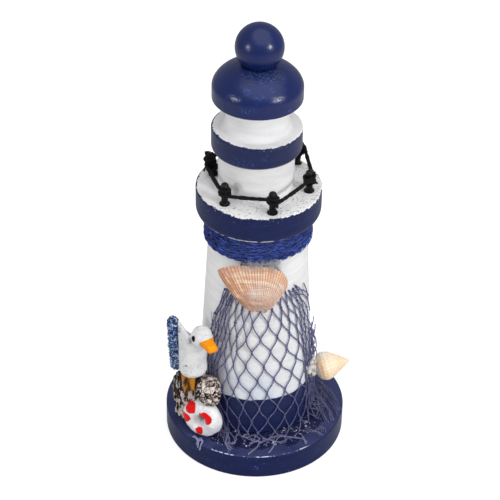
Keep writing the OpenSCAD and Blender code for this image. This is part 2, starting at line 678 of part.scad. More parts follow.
// Roots of the right and the left wing
wing_roots = [[-32.4, -27.2], [-28.6, -20.6]];
module bar_shape() {
    z = base_t + perch_h;
    hull() {
        translate([bar_at[0] + 0.6, bar_at[1], z + bar_low + 1]) sphere(d = bar_d - 0.8, $fn = 16);
        translate([bar_at[0], bar_at[1], z + (bar_low + bar_high) / 2]) sphere(d = bar_d, $fn = 16);
        translate([bar_at[0] - 0.4, bar_at[1], z + bar_high]) sphere(d = bar_d, $fn = 16);
    }
}
module wing_plate(i) {
    z = base_t + perch_h;
    root = wing_roots[i];
    color(WHITE) difference() {
        hull() {
            translate([bar_at[0] + 1.4, bar_at[1], z + bar_high + 0.8 - 4 * i]) sphere(d = wing_t, $fn = 12);
            translate([bar_at[0] + 1.4, bar_at[1], z + bar_low]) sphere(d = wing_t, $fn = 12);
            translate([root[0], root[1], z + 26 - 8 * i]) sphere(d = wing_t, $fn = 12);
            translate([root[0], root[1], z + 3]) sphere(d = wing_t, $fn = 12);
        }
        bar_shape();
        gull_frame() gull_torso();
        if (i == 1) wing_cut();
    }
}
// Room of the right wing, taken from the left one where both reach the thick edge
module wing_cut() {
    z = base_t + perch_h;
    hull() for (h = [-2, 34]) {
        translate([bar_at[0] + 1.4, bar_at[1], z + h]) sphere(d = wing_t + 0.2, $fn = 12);
        translate([wing_roots[0][0], wing_roots[0][1], z + h]) sphere(d = wing_t + 0.2, $fn = 12);
    }
}
module gull_wing_right() wing_plate(0);
module gull_wing_left() wing_plate(1);
module gull_feathers() {
    color(SPECKLE) bar_shape();
}
// Legs: two short webbed shanks on the rock, below the breast
leg_at = [[-34.4, -24.6], [-30.6, -26.4]];
leg_foot = [[-33.4, -27.2, -8], [-30.6, -28.6, -5]];
module gull_legs() {
    z = base_t + perch_h;
    color(LEG) difference() {
        for (i = [0, 1]) hull() {
            translate([leg_at[i][0], leg_at[i][1], z + 2]) sphere(d = 4, $fn = 12);
            translate([leg_foot[i][0], leg_foot[i][1], z + leg_foot[i][2]]) sphere(d = 2.6, $fn = 12);
        }
        gull_frame() gull_torso();
        wing_plate(0);
        stones(core_stones);
        stones(right_stones);
        stones(left_stones);
    }
}

base_disc();
tower_body();
gallery_disc();
lantern_room();
lantern_canopy();
lantern_neck();
roof_dome();
roof_ball();
base_screw();
gallery_dowel();
lantern_dowel();
roof_dowels();
rope_binding();
for (i = [1:6]) railing_post(i);
railing_rope();
fishing_net();
net_gather();
glue_fillet();
fan_shell();
whelk_shell();
shell_glue();
rock_core();
rock_left();
rock_right();
life_ring();
gull_body();
gull_beak();
gull_eyes();
gull_wing_right();
gull_wing_left();
gull_feathers();
gull_legs();
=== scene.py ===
"""Lighthouse ornament: the looks of a turned, painted wooden lighthouse with rope, net, shells and a gull."""

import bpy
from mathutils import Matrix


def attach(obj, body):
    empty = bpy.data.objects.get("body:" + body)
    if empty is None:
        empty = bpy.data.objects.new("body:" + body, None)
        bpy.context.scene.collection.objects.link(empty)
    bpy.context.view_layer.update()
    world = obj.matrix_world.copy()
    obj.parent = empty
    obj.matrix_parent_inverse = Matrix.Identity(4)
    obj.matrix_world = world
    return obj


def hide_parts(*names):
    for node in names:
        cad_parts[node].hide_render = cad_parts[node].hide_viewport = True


bl_info = {
    "name": "Lighthouse Ornament",
    "version": (1, 0, 0),
    "blender": (4, 5, 0),
    "location": "3D View > Sidebar > Lighthouse",
    "description": "Paints and dresses a turned wooden lighthouse with rope, net, shells and a gull",
    "category": "Object",
}

from math import atan2, cos, degrees, exp, hypot, pi, radians, sin, sqrt, tan

import bmesh
import bpy
import numpy as np
from mathutils import Matrix, Vector, noise

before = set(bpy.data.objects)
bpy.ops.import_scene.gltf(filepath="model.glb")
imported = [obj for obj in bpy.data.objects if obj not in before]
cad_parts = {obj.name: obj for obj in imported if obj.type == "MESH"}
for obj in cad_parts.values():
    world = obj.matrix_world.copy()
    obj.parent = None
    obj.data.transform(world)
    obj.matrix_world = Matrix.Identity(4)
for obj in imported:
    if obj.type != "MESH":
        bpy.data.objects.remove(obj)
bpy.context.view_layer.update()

# One millimetre in metres. Lengths in the tables and functions below are millimetres.
MM = 0.001

# Heights and radii that the paint, the rope, the net and the glue follow
BASE_TOP = 13.0
BASE_R = 45.0
FOOT_R = 29.2
TOP_R = 23.0
GALLERY_Z = 129.0
GALLERY_R = 29.6
DECK_Z = 143.5
CANOPY_R = 21.1
CANOPY_Z = 174.0

# Kinds of node that are used often
MATH = "ShaderNodeMath"
VECTOR = "ShaderNodeVectorMath"
MIX = "ShaderNodeMix"
RANGE = "ShaderNodeMapRange"
ATTRIBUTE = "ShaderNodeAttribute"

# Stretch of brush marks that run level round a turned piece
LEVEL = (1, 1, 0.3)


def linear(code):
    """Linear colour with alpha from an sRGB hex code. A colour that is linear already stays as it is."""
    if not isinstance(code, str):
        return code
    parts = [int(code[i : i + 2], 16) / 255 for i in (1, 3, 5)]
    return tuple(c / 12.92 if c <= 0.04045 else ((c + 0.055) / 1.055) ** 2.4 for c in parts) + (1.0,)


def colour_setting(label, text, code):
    return bpy.props.FloatVectorProperty(
        name=label, description=text, subtype="COLOR", size=4, min=0, max=1, default=linear(code)
    )


def length_setting(label, text, size):
    return bpy.props.FloatProperty(
        name=label, description=text, default=size * MM, min=0, unit="LENGTH", subtype="DISTANCE", precision=5
    )


class LighthousePaint(bpy.types.PropertyGroup):
    """Colours of the painted wood and of the resin group."""

    navy: colour_setting("Navy", "Satin paint of the discs, the roof and the ball", "#192453")
    navy_deep: colour_setting("Deep navy", "Second coat of the roof and the ball", "#021A56")
    navy_worn: colour_setting("Worn navy", "Small scuffs in the navy paint", "#3C5CB0")
    white: colour_setting("White", "Satin paint of the tower and the decks", "#EEEEEF")
    foot_tint: colour_setting("Foot tint", "Bluish white low on the tower", "#D2DDE9")
    speck: colour_setting("Deck specks", "Brown grey specks brushed over the deck", "#463733")
    red: colour_setting("Red", "Bands of the life ring", "#E3070F")
    beak: colour_setting("Beak", "Orange of the gull's beak", "#F39204")


class LighthouseCords(bpy.types.PropertyGroup):
    """Sizes and colours of the rope, the railing cord and the net."""

    wrap_d: length_setting("Rope diameter", "Twine round the tower under the gallery", 1.95)
    wrap_lay: length_setting("Rope lay", "Length of one turn of the rope's strands", 9.0)
    rail_d: length_setting("Railing cord", "Diameter of the black cord", 1.85)
    net_d: length_setting("Net twine", "Diameter of the net's twine", 0.8)
    rope: colour_setting("Rope", "Royal blue sisal", "#10184E")
    rope_light: colour_setting("Rope fibres", "Lit fibres of the sisal", "#5575DD")
    net: colour_setting("Net", "Blue grey net twine", "#343C70")
    net_light: colour_setting("Net fibres", "Lit and frayed net twine", "#9A98C0")
    black: colour_setting("Black", "Railing posts and cord", "#070708")


class LighthouseShells(bpy.types.PropertyGroup):
    """Colours of the two sea shells."""

    peach: colour_setting("Peach", "Main colour of the fan shell", "#EAC3A4")
    cream: colour_setting("Cream", "Pale bands of both shells", "#F7E9DC")
    rust: colour_setting("Rust", "Dark rays and grooves of the fan shell", "#A65A29")
    whelk: colour_setting("Whelk", "Warm cream of the coiled shell", "#FFE9CC")


# Materials


def put(tree, kind, inputs=(), out=0, **values):
    """Adds one node with its settings, and with numbers or links on its inputs, and gives an output of it."""
    made = tree.nodes.new(kind)
    for name, value in values.items():
        setattr(made, name, value)
    for key, value in inputs.items() if isinstance(inputs, dict) else enumerate(inputs):
        if isinstance(value, bpy.types.NodeSocket):
            tree.links.new(value, made.inputs[key])
        else:
            made.inputs[key].default_value = value
    return made.outputs[out] if made.outputs else made


class Finish:
    """A material that is being painted. A share is a mask from 0 to 1 over the piece."""

    def __init__(self, name, rough, gloss=0.5, **shader):
        self.material = bpy.data.materials.new(name)
        self.material.use_nodes = True
        self.tree = self.material.node_tree
        self.inputs = self.tree.nodes["Principled BSDF"].inputs
        for key, value in {"Roughness": rough, "Specular IOR Level": gloss, **shader}.items():
            self.inputs[key.replace("_", " ")].default_value = value
        self.place = self.put("ShaderNodeTexCoord", out="Object")

    def put(self, *node, **values):
        return put(self.tree, *node, **values)

    def cloud(self, size, stretch=(1, 1, 1), place=None, **grain):
        """Noise with lumps about this size, longer along an axis by its stretch."""
        scale = [1 / (size * MM * s) for s in stretch]
        at = self.put("ShaderNodeMapping", {"Vector": place or self.place, "Scale": scale})
        return self.put("ShaderNodeTexNoise", {"Vector": at, "Scale": 1.0, **grain})

    def patches(self, size, low=0.4, high=0.6, stretch=(1, 1, 1), detail=4.0, rough=0.6, place=None):
        """Share of irregular patches."""
        cloud = self.cloud(size, stretch, place, Detail=detail, Roughness=rough)
        return self.put(RANGE, (cloud, low, high), interpolation_type="SMOOTHSTEP")

    def veins(self, size, width):
        """Share of meandering lines about this size apart."""
        cloud = self.cloud(size, Detail=2.5, Roughness=0.5, Distortion=0.6)
        level = self.put(MATH, (cloud, 0.5), operation="SUBTRACT")
        level = self.put(MATH, (level,), operation="ABSOLUTE")
        return self.put(RANGE, (level, width, width * 0.45), interpolation_type="SMOOTHSTEP")

    def dab(self, point, reach, soft=0.3, ragged=0.0, size=2.0, squash=(1, 1, 1)):
        """Share of a dab round a point, with its reach, soft edge and ragged edge."""
        shift = [-p * MM * s for p, s in zip(point, squash)]
        at = self.put("ShaderNodeMapping", {"Vector": self.place, "Location": shift, "Scale": squash})
        far = self.put(VECTOR, (at,), "Value", operation="LENGTH")
        if ragged:
            far = self.put(MATH, (self.cloud(size, Detail=4.0), ragged * MM, far), operation="MULTIPLY_ADD")
            reach += ragged / 2
        edges = (far, (reach - soft) * MM, (reach + soft) * MM, 1.0, 0.0)
        return self.put(RANGE, edges, interpolation_type="SMOOTHSTEP")

    def dabs(self, *spots):
        """Share of several dabs."""
        return self.any(*[self.dab(*spot) for spot in spots])

    def all(self, share, *others):
        """Share where every given share holds, thinned by a number."""
        for other in others:
            share = self.put(MATH, (share, other), operation="MULTIPLY")
        return share

    def any(self, share, *others):
        """Share where at least one given share holds."""
        for other in others:
            share = self.put(MATH, (share, other), operation="MAXIMUM")
        return share

    def height(self, low, high):
        """Share that grows from 0 at the height low to 1 at the height high."""
        z = self.put("ShaderNodeSeparateXYZ", (self.place,), 2)
        ends = (low * MM, high * MM) if low < high else (high * MM, low * MM, 1.0, 0.0)
        return self.put(RANGE, (z, *ends))

    def radius(self, x=0.0, y=0.0):
        """Distance in metres from the upright axis through x and y."""
        flat = self.put(VECTOR, (self.place, (x * MM, y * MM, 0)), operation="SUBTRACT")
        flat = self.put(VECTOR, (flat, (1, 1, 0)), operation="MULTIPLY")
        return self.put(VECTOR, (flat,), "Value", operation="LENGTH")

    def coats(self, colour, *coats):
        """Lays coats of paint, each a share and a colour, one over the other."""
        for share, over in coats:
            colour = self.put(MIX, {0: share, 6: linear(colour), 7: linear(over)}, 2, data_type="RGBA")
        return colour

    def navy(self, paint):
        """Navy paint: darker and lighter brush strokes, and small scuffs where a paler blue shows."""
        strokes = self.patches(9, 0.35, 0.7, (1, 1, 0.16))
        scuffs = self.all(self.patches(1.7, 0.6, 0.72), self.patches(9, 0.5, 0.62), 0.6)
        deep = [c * 0.75 for c in paint.navy[:3]] + [1]
        return self.coats(deep, (strokes, paint.navy), (scuffs, paint.navy_worn))

    def white(self, paint):
        """White paint with faint grey brush strokes."""
        grey = [c * 0.9 for c in paint.white[:3]] + [1]
        return self.coats(grey, (self.patches(14, 0.3, 0.65, (1, 1, 0.2)), paint.white))

    def feed(self, **sockets):
        """Joins sockets to the shader's inputs of the same names."""
        for key, value in sockets.items():
            self.tree.links.new(value, self.inputs[key.replace("_", " ")])

    def done(self, colour, *layers):
        """Joins the colour and the relief. A layer is a size or a share, its depth, and maybe its stretch."""
        self.feed(Base_Color=colour)
        links = {"Strength": 1.0}
        for what, depth, *stretch in layers:
            if not isinstance(what, bpy.types.NodeSocket):
                what = self.patches(what, 0.2, 0.8, *stretch)
            links["Normal"] = self.put("ShaderNodeBump", {"Height": what, "Distance": depth * MM, **links})
        self.feed(Normal=links["Normal"])
        return self.material


def coat_node(name, material):
    """Gives a CAD node its material."""
    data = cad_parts[name].data
    data.materials.clear()
    data.materials.append(material)
    for face in data.polygons:
        face.material_index = 0


# Meshes


def link(name, data):
    made = bpy.data.objects.new(name, data)
    bpy.context.scene.collection.objects.link(made)
    return made


def settle(made, slot, stands_for=(), material=None):
    """Puts a finished piece on the root body, with its material and the nodes it stands for. Its slot is not
    used.
    """
    if material:
        made.data.materials.clear()
        made.data.materials.append(material)
    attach(made, "root")
    if stands_for:
        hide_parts(*stands_for)
    return made


def metres(points):
    return [tuple(float(c) * MM for c in p) for p in points]


def skin(name, points, faces, material, slot, stands_for):
    """A new smooth closed mesh piece."""
    data = bpy.data.meshes.new(name)
    data.from_pydata(metres(points), [], faces)
    work = bmesh.new()
    work.from_mesh(data)
    bmesh.ops.recalc_face_normals(work, faces=work.faces)
    work.to_mesh(data)
    work.free()
    data.polygons.foreach_set("use_smooth", [True] * len(data.polygons))
    return settle(link(name, data), slot, (stands_for,), material)


def store(made, **named):
    """Keeps numbers for each point of a mesh, for its material."""
    for name, values in named.items():
        values = np.asarray(values, np.float32)
        made.data.attributes.new(name, "FLOAT", "POINT").data.foreach_set("value", values)


def baked(made):
    """Turns an object with modifiers into a plain mesh."""
    bpy.context.view_layer.update()
    graph = bpy.context.evaluated_depsgraph_get()
    data = bpy.data.meshes.new_from_object(made.evaluated_get(graph))
    made.modifiers.clear()
    made.data = data
    return made


def cast(name, work, lift, *piece, grain=0.34, passes=5):
    """Fuses a mesh into one skin with faces of this grain, smoothed in passes. lift(point) raises it."""
    data = bpy.data.meshes.new(name)
    work.to_mesh(data)
    work.free()
    made = link(name, data)
    remesh = made.modifiers.new("grain", "REMESH")
    remesh.mode = "VOXEL"
    remesh.voxel_size = grain * MM
    smooth = made.modifiers.new("smooth", "SMOOTH")
    smooth.factor = 0.5
    smooth.iterations = passes
    data = baked(made).data
    if lift:
        points, normals = np.empty((2, len(data.vertices) * 3), np.float32)
        data.vertices.foreach_get("co", points)
        data.vertices.foreach_get("normal", normals)
        raised = np.array([lift(Vector(p) / MM) for p in points.reshape(-1, 3)], np.float32)
        data.vertices.foreach_set("co", points + normals * raised.repeat(3) * MM)
        data.update()
    data.polygons.foreach_set("use_smooth", [True] * len(data.polygons))
    return settle(made, *piece)


def from_node(*nodes):
    """The meshes of CAD nodes in one, with their loose triangles joined."""
    work = bmesh.new()
    for node in nodes:
        work.from_mesh(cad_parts[node].data)
    bmesh.ops.remove_doubles(work, verts=work.verts, dist=1e-6)
    return work


def grid_faces(rows, cols, first=0, flip=False, wrap=False):
    """Faces of a grid of points, row by row."""
    faces = []
    for i in range(rows - 1):
        for j in range(cols if wrap else cols - 1):
            a, b = first + i * cols + j, first + i * cols + (j + 1) % cols
            face = (a, b, b + cols, a + cols)
            faces.append(face[::-1] if flip else face)
    return faces


def slab_faces(rows, cols):
    """Faces of two grids of points, one over the other, closed round their rim."""
    base = rows * cols
    rim = list(range(cols)) + [i * cols + cols - 1 for i in range(1, rows)]
    rim += [base - cols + j for j in range(cols - 2, -1, -1)] + [i * cols for i in range(rows - 2, -1, -1)]
    sides = [(a, b, base + b, base + a) for a, b in zip(rim, rim[1:])]
    return grid_faces(rows, cols) + grid_faces(rows, cols, base, True) + sides


# Cords


def ripple(x, y, z=0.0):
    return noise.noise(Vector((x, y, z)))


def ease(t):
    t = min(max(t, 0.0), 1.0)
    return t * t * (3 - 2 * t)


def polar(r, angle, z):
    a = radians(angle)
    return np.array([r * cos(a), r * sin(a), z])


def azimuth(p):
    return degrees(atan2(p[1], p[0]))


def tower_r(z):
    return FOOT_R + (TOP_R - FOOT_R) * (z - BASE_TOP) / (GALLERY_Z - BASE_TOP)


def curve_through(points, step=0.5):
    """Points about a step apart on a smooth line through the given ones."""
    p = np.asarray(points, float)
    ends = np.vstack([2 * p[0] - p[1], p, 2 * p[-1] - p[-2]])
    out = []
    for i in range(len(p) - 1):
        a, b, c, d = ends[i : i + 4]
        n = max(int(np.linalg.norm(c - b) / step), 1)
        for t in np.arange(n) / n:
            bend = (2 * a - 5 * b + 4 * c - d) * t * t + (3 * b - a - 3 * c + d) * t**3
            out.append(0.5 * (2 * b + (c - a) * t + bend))
    out.append(p[-1])
    return np.array(out)


def open_tree(name, **named):
    """A new geometry node tree and its inputs by name."""
    tree = bpy.data.node_groups.new(name, "GeometryNodeTree")
    tree.interface.new_socket("Geometry", in_out="OUTPUT", socket_type="NodeSocketGeometry")
    for label, kind in {"Geometry": "Geometry", **named}.items():
        tree.interface.new_socket(label, in_out="INPUT", socket_type="NodeSocket" + kind)
    return tree, put(tree, "NodeGroupInput").node.outputs


def close_tree(tree, shape, material):
    """Ends a tree: real geometry, smooth, with its material."""
    shape = put(tree, "GeometryNodeRealizeInstances", (shape,))
    shape = put(tree, "GeometryNodeSetShadeSmooth", {"Geometry": shape})
    shape = put(tree, "GeometryNodeSetMaterial", {"Geometry": shape, "Material": material})
    put(tree, "NodeGroupOutput", {"Geometry": shape})
    return tree


def laid_cord_tree():
    """Geometry nodes: every line of the input mesh becomes a cord of twisted plies."""
    named = dict.fromkeys(("Offset", "Radius", "Lay", "Step"), "Float")
    tree, given = open_tree("laid_cord", Plies="Int", Sides="Int", Finish="Material", **named)
    line = put(tree, "GeometryNodeMeshToCurve", {"Mesh": given["Geometry"]})
    line = put(tree, "GeometryNodeResampleCurve", {"Curve": line, "Length": given["Step"]}, mode="LENGTH")
    plies = {"Geometry": line, "Amount": given["Plies"]}
    plies = put(tree, "GeometryNodeDuplicateElements", plies, domain="SPLINE")
    share = put(tree, MATH, (plies.node.outputs["Duplicate Index"], given["Plies"]), operation="DIVIDE")
    run = put(tree, "GeometryNodeSplineParameter", out="Length")
    turns = put(tree, MATH, (run, given["Lay"]), operation="DIVIDE")
    turns = put(tree, MATH, (turns, share), operation="ADD")
    angle = put(tree, MATH, (turns, 2 * pi), operation="MULTIPLY")
    across = put(tree, "GeometryNodeInputNormal")
    third = put(tree, VECTOR, (put(tree, "GeometryNodeInputTangent"), across), operation="CROSS_PRODUCT")
    parts = []
    for axis, wave in ((across, "COSINE"), (third, "SINE")):
        size = put(tree, MATH, (angle,), operation=wave)
        size = put(tree, MATH, (size, given["Offset"]), operation="MULTIPLY")
        parts.append(put(tree, VECTOR, {0: axis, "Scale": size}, operation="SCALE"))
    shift = put(tree, VECTOR, parts, operation="ADD")
    moved = put(tree, "GeometryNodeSetPosition", {"Geometry": plies, "Offset": shift})
    ring = {"Resolution": given["Sides"], "Radius": given["Radius"]}
    ring = put(tree, "GeometryNodeCurvePrimitiveCircle", ring, mode="RADIUS")
    girth = put(tree, "GeometryNodeInputNamedAttribute", {"Name": "girth"}, data_type="FLOAT")
    tube = {"Curve": moved, "Profile Curve": ring, "Scale": girth, "Fill Caps": True}
    return close_tree(tree, put(tree, "GeometryNodeCurveToMesh", tube), given["Finish"])


def dress(made, tree, **values):
    """Runs a geometry node tree on an object with the named inputs and keeps the result as a plain mesh."""
    modifier = made.modifiers.new(tree.name, "NODES")
    modifier.node_group = tree
    for socket in tree.interface.items_tree:
        if socket.item_type == "SOCKET" and socket.in_out == "INPUT" and socket.name in values:
            modifier[socket.identifier] = values[socket.name]
    return baked(made)


def cords(name, routes, material, slot, d, plies=1, lay=3.0, step=0.4, sides=6, girths=None, tones=None,
          stands_for=()):
    """Lays a cord of diameter d along each route. girths scale its plies and tones lighten its colour."""
    points, edges, girth, tone = [], [], [], []
    random = np.random.default_rng(len(routes) + int(d * 100))
    for k, route in enumerate(routes):
        first = len(points)
        points += metres(route)
        edges += [(i, i + 1) for i in range(first, len(points) - 1)]
        girth += list(np.broadcast_to(1.0 if girths is None else girths[k], len(route)))
        tone += list(np.broadcast_to(random.random() * 0.6 if tones is None else tones[k], len(route)))
    data = bpy.data.meshes.new(name)
    data.from_pydata(points, edges, [])
    made = link(name, data)
    store(made, girth=girth, tone=tone)
    # Two or three plies lie round the cord's middle, and three of them are pressed a little wider
    offset = 0.25 * d if plies > 1 else 0.0
    radius = (d / 2 - offset) * MM * (1.12 if plies == 3 else 1)
    tree = bpy.data.node_groups.get("laid_cord") or laid_cord_tree()
    dress(made, tree, Plies=plies, Sides=sides, Finish=material, Offset=offset * MM, Radius=radius,
          Lay=lay * MM, Step=step * MM)
    return settle(made, slot, stands_for)


def twine(name, colour, light, rough, gloss, fibre=0.9, stretch=(1, 1, 1), depth=0.06, **shader):
    """Spun fibre: matt, with soft sheen, and lighter where single fibres catch the light."""
    f = Finish(name, rough, gloss, **shader)
    tone = f.put(ATTRIBUTE, out="Fac", attribute_name="tone")
    share = f.put(MATH, (f.patches(fibre, 0.42, 0.7, stretch), 0.55, tone), operation="MULTIPLY_ADD")
    # Real fibres are finer than a pixel, so these are drawn 0.25 mm wide and show
    return f.done(f.coats(colour, (share, light)), (0.25, depth, stretch))


# Painted wood


def ball_paint(paint):
    # Satin acrylic on a turned beech ball: soft bright glints that the brush marks break up
    f = Finish("ball_satin_acrylic", 0.27, 0.42)
    colour = f.coats(f.navy(paint), (0.75, paint.navy_deep))
    return f.done(colour, (7, 0.05, LEVEL), (3, 0.03), (0.9, 0.006))


def roof_paint(paint):
    # The same acrylic, laid on thick: it wrinkled as it dried on the front of the dome
    f = Finish("roof_satin_acrylic", 0.26, 0.4)
    wrinkled = f.dab((1.0, -6.2, 204.6), 6.6, 2.2, 4.0, 3.0, (0.72, 1.25, 1.25))
    folds = f.all(wrinkled, f.patches(0.9, 0.38, 0.62, detail=2.0))
    worn = f.dabs(
        ((-6.2, -14.4, 201.2), 1.6, 1.2, 2.4, 1.0),
        ((-0.3, -16.7, 199.3), 1.0, 0.9, 2.0, 1.0, (0.5, 1, 1.2)),
        ((5.3, -13.2, 201.6), 1.2, 1.0, 2.2, 1.0),
        ((-5.5, -18.1, 193.2), 1.6, 1.2, 2.2, 1.0, (0.5, 1, 1)),
        ((13.1, -12.6, 190.4), 1.4, 1.2, 2.2, 1.0),
    )
    worn = f.all(worn, f.patches(1.1, 0.45, 0.75))
    # A paler blue dab on the front of the dome: painted sheen
    thin = f.all(f.dab((1.5, -14.0, 201.0), 6.0, 5.0, 4.0, 4.0), 0.12)
    # The folds are also painted a little paler: painted glints
    colour = f.coats(f.navy(paint), (0.75, paint.navy_deep), (thin, "#2C478F"), (worn, paint.navy_worn),
                     (f.all(folds, 0.14), "#6E7CAE"))
    return f.done(colour, (7, 0.05, LEVEL), (3, 0.09), (folds, 0.2), (0.9, 0.008))


def white_paint(paint):
    # White satin acrylic over turned wood: even, with shallow level brush marks and a grey patch low on the
    # lantern room's wall, behind a railing post
    f = Finish("white_satin_acrylic", 0.5, 0.3)
    # A grey patch low on the lantern room's wall, behind a railing post
    grey_patch_behind_post = f.all(f.dab((-10.2, -12.8, 148.6), 1.3, 1.1, 2.0, 2.0, (1, 1, 0.8)), 0.5)
    return f.done(f.coats(f.white(paint), (grey_patch_behind_post, "#7D7B80")), (5, 0.12, (1, 1, 0.25)), (1.1, 0.05))


def lapped(f, paint, centre, rim, inset, ragged, wander, dirt):
    """Navy side and white top. The white's edge runs along the rim, ragged, and in places it falls short."""
    z = f.put("ShaderNodeSeparateXYZ", (f.place,), 2)
    run = f.put(MATH, (z, f.radius(*centre)), operation="SUBTRACT")
    fine, slow = f.patches(1.9, 0.2, 0.8, rough=0.7), f.patches(12, 0.2, 0.8, detail=2.0)
    for share, depth in ((fine, ragged), (slow, wander)):
        run = f.put(MATH, (share, depth * MM, run), operation="MULTIPLY_ADD")
    edge = rim[1] - rim[0] + inset + (ragged + wander) / 2
    lap = f.put(RANGE, (run, (edge - 0.1) * MM, (edge + 0.05) * MM))
    white = f.coats(f.white(paint), (dirt, paint.speck))
    flecks = f.all(f.height(rim[1] - 4.5, rim[1] - 0.3), f.patches(0.8, 0.66, 0.7))
    return f.coats(f.navy(paint), (flecks, paint.white), (lap, white)), lap


def canopy_paint(paint):
    # Satin acrylic, the white brushed on last, so its edge on the navy is a little wavy
    f = Finish("canopy_satin_acrylic", 0.34, 0.28)
    dirt = f.all(f.patches(0.7, 0.66, 0.74), 0.12)
    colour, lap = lapped(f, paint, (-0.9, 2.4), (CANOPY_R, CANOPY_Z - 0.1), 0.45, 1.4, 0.6, dirt)
    worn = f.dabs(
        ((2.4, -19.0, 168.0), 1.8, 1.2, 2.0, 1.2),
        ((-8.0, -17.8, 165.8), 4.0, 2.0, 3.0, 1.5, (0.6, 1, 1.6)),
    )
    worn = f.all(worn, f.patches(0.9, 0.5, 0.8))
    rough = f.all(lap, f.dab((1.0, -14.0, 174.0), 9.0, 3.0), f.patches(0.9, 0.3, 0.7))
    # A faint grey over the brush marks on the front of the top: painted shade
    colour = f.coats(colour, (f.all(rough, 0.1), "#77757A"), (worn, paint.navy_worn))
    return f.done(colour, (7, 0.06, LEVEL), (rough, 0.2), (1.1, 0.03))


def gallery_paint(paint):
    # Satin acrylic: the deck's white is dry brushed over dark, so brown grey specks show in it
    f = Finish("gallery_satin_acrylic", 0.4, 0.16)
    worn = f.dabs(
        ((14.0, -18.0, DECK_Z), 12.0, 6.0, 6.0, 5.0),
        ((24.5, 2.0, DECK_Z), 8.0, 5.0, 6.0, 5.0, (1, 0.6, 1)),
        ((-8.0, -21.0, DECK_Z), 7.0, 5.0, 6.0, 5.0, (0.6, 1, 1)),
        ((20.5, 14.0, DECK_Z), 5.0, 4.0, 6.0, 5.0),
    )
    # Brown patches on the deck at the lantern room's foot, on the right
    brown_patch_by_lantern = f.all(f.dab((17.6, -2.5, DECK_Z), 4.5, 3.0, 4.0, 3.0), f.patches(1.2, 0.42, 0.6), 0.5)
    specks = f.any(f.patches(0.65, 0.645, 0.675, detail=1.5), f.patches(0.7, 0.62, 0.66, (3.4, 1, 1), 2.0))
    dirt = f.all(worn, specks)
    colour, lap = lapped(f, paint, (0.5, 0), (GALLERY_R, DECK_Z - 0.1), 0.2, 1.7, 1.5, dirt)
    # A thin broken line of the tower's white is left round the gallery's lower edge
    seam = f.all(f.height(131.1, 130.7), f.patches(3.0, 0.42, 0.48), f.dab((-6.0, -27.0, 130.0), 16.0, 4.0))
    rough = f.all(lap, f.patches(0.9, 0.3, 0.7, (1.8, 1, 1)))
    colour = f.coats(colour, (brown_patch_by_lantern, "#8A5A48"), (seam, paint.white))
    return f.done(colour, (7, 0.06, LEVEL), (rough, 0.12), (0.9, 0.01))


def tower_paint(paint):
    # White satin acrylic, bluish near the foot, with a navy band brushed round the lowest part
    f = Finish("tower_satin_acrylic", 0.42, 0.24)
    tint = f.all(f.height(62, 34), f.patches(17, 0.3, 0.7, (1, 1, 1.6)))
    z = f.put("ShaderNodeSeparateXYZ", (f.place,), 2)
    wave = f.put(MATH, (f.patches(8, 0.2, 0.8), 1.0 * MM, z), operation="MULTIPLY_ADD")
    band = f.put(RANGE, (wave, 35.6 * MM, 35.9 * MM, 1.0, 0.0))
    colour = f.coats(f.white(paint), (tint, paint.foot_tint), (band, f.navy(paint)))
    return f.done(colour, (11, 0.2, LEVEL), (1.2, 0.04))


def base_paint(paint):
    # Navy satin acrylic on a turned disc: a pale broken line along the front of its sharp top edge is a
    # painted highlight, and its side is scuffed
    f = Finish("base_satin_acrylic", 0.3, 0.12)
    r = f.radius()
    # A pale broken line along the front of the top edge: painted highlight
    inner = f.put(RANGE, (r, 44.2 * MM, 44.35 * MM))
    outer = f.put(RANGE, (r, 44.6 * MM, 44.75 * MM, 1.0, 0.0))
    rim = f.all(inner, outer, f.height(12.2, 12.6), f.dab((2.0, -46.0, 13.0), 26.0, 5.0),
                f.patches(1.7, 0.47, 0.54), f.patches(9, 0.4, 0.5))
    side = f.all(f.height(12.9, 12.5), f.patches(1.3, 0.6, 0.68), f.patches(7, 0.5, 0.62), 0.55)
    # The top is painted a paler grey navy: painted sheen of its satin gloss
    painted_top_sheen = f.all(f.height(12.7, 12.95), f.patches(12, 0.1, 0.6), 0.55)
    colour = f.coats(f.navy(paint), (painted_top_sheen, "#4A4F76"), (side, "#5B76BE"), (rim, "#D5DAEE"))
    return f.done(colour, (7, 0.06, LEVEL), (1.0, 0.015))


class LIGHTHOUSE_OT_wood(bpy.types.Operator):
    """Paint the turned wooden pieces"""

    bl_idname = "lighthouse.wood"
    bl_label = "Painted wood"

    def execute(self, context):
        paint = context.scene.lighthouse_paint
        coat_node("roof_ball", ball_paint(paint))
        coat_node("roof_dome", roof_paint(paint))
        coat_node("lantern_neck", white_paint(paint))
        coat_node("lantern_room", white_paint(paint))
        coat_node("lantern_canopy", canopy_paint(paint))
        coat_node("gallery_disc", gallery_paint(paint))
        coat_node("tower_body", tower_paint(paint))
        coat_node("base_disc", base_paint(paint))
        return {"FINISHED"}


class LIGHTHOUSE_OT_fastenings(bpy.types.Operator):
    """Give the hidden screw and dowels their steel and beech"""

    bl_idname = "lighthouse.fastenings"
    bl_label = "Screw and dowels"

    def execute(self, context):
        # Planed beech: pale and dry, with grain lines 0.7 mm apart along the dowel
        f = Finish("planed_beech", 0.7)
        grain = f.patches(0.7, 0.35, 0.65, (1, 1, 12))
        beech = f.done(f.coats("#B98E5E", (grain, "#DCBB8C")), (grain, 0.05))
        for name in ("gallery_dowel", "lantern_dowel", "roof_dowels"):
            coat_node(name, beech)
        # Zinc plated steel: a cool grey metal with fine turned scratches
        f = Finish("zinc_plated_steel", 0.34, Metallic=1.0)
        zinc = f.coats("#A7ABAE", (f.patches(1.2), "#C9CCCE"))
        coat_node("base_screw", f.done(zinc, (0.3, 0.02, (6, 6, 1))))
        return {"FINISHED"}


# Rope and railing


# Loose fibres on the rope, and degrees in a radian
ROPE_HAIRS = 1300
RADIAN = 57.3


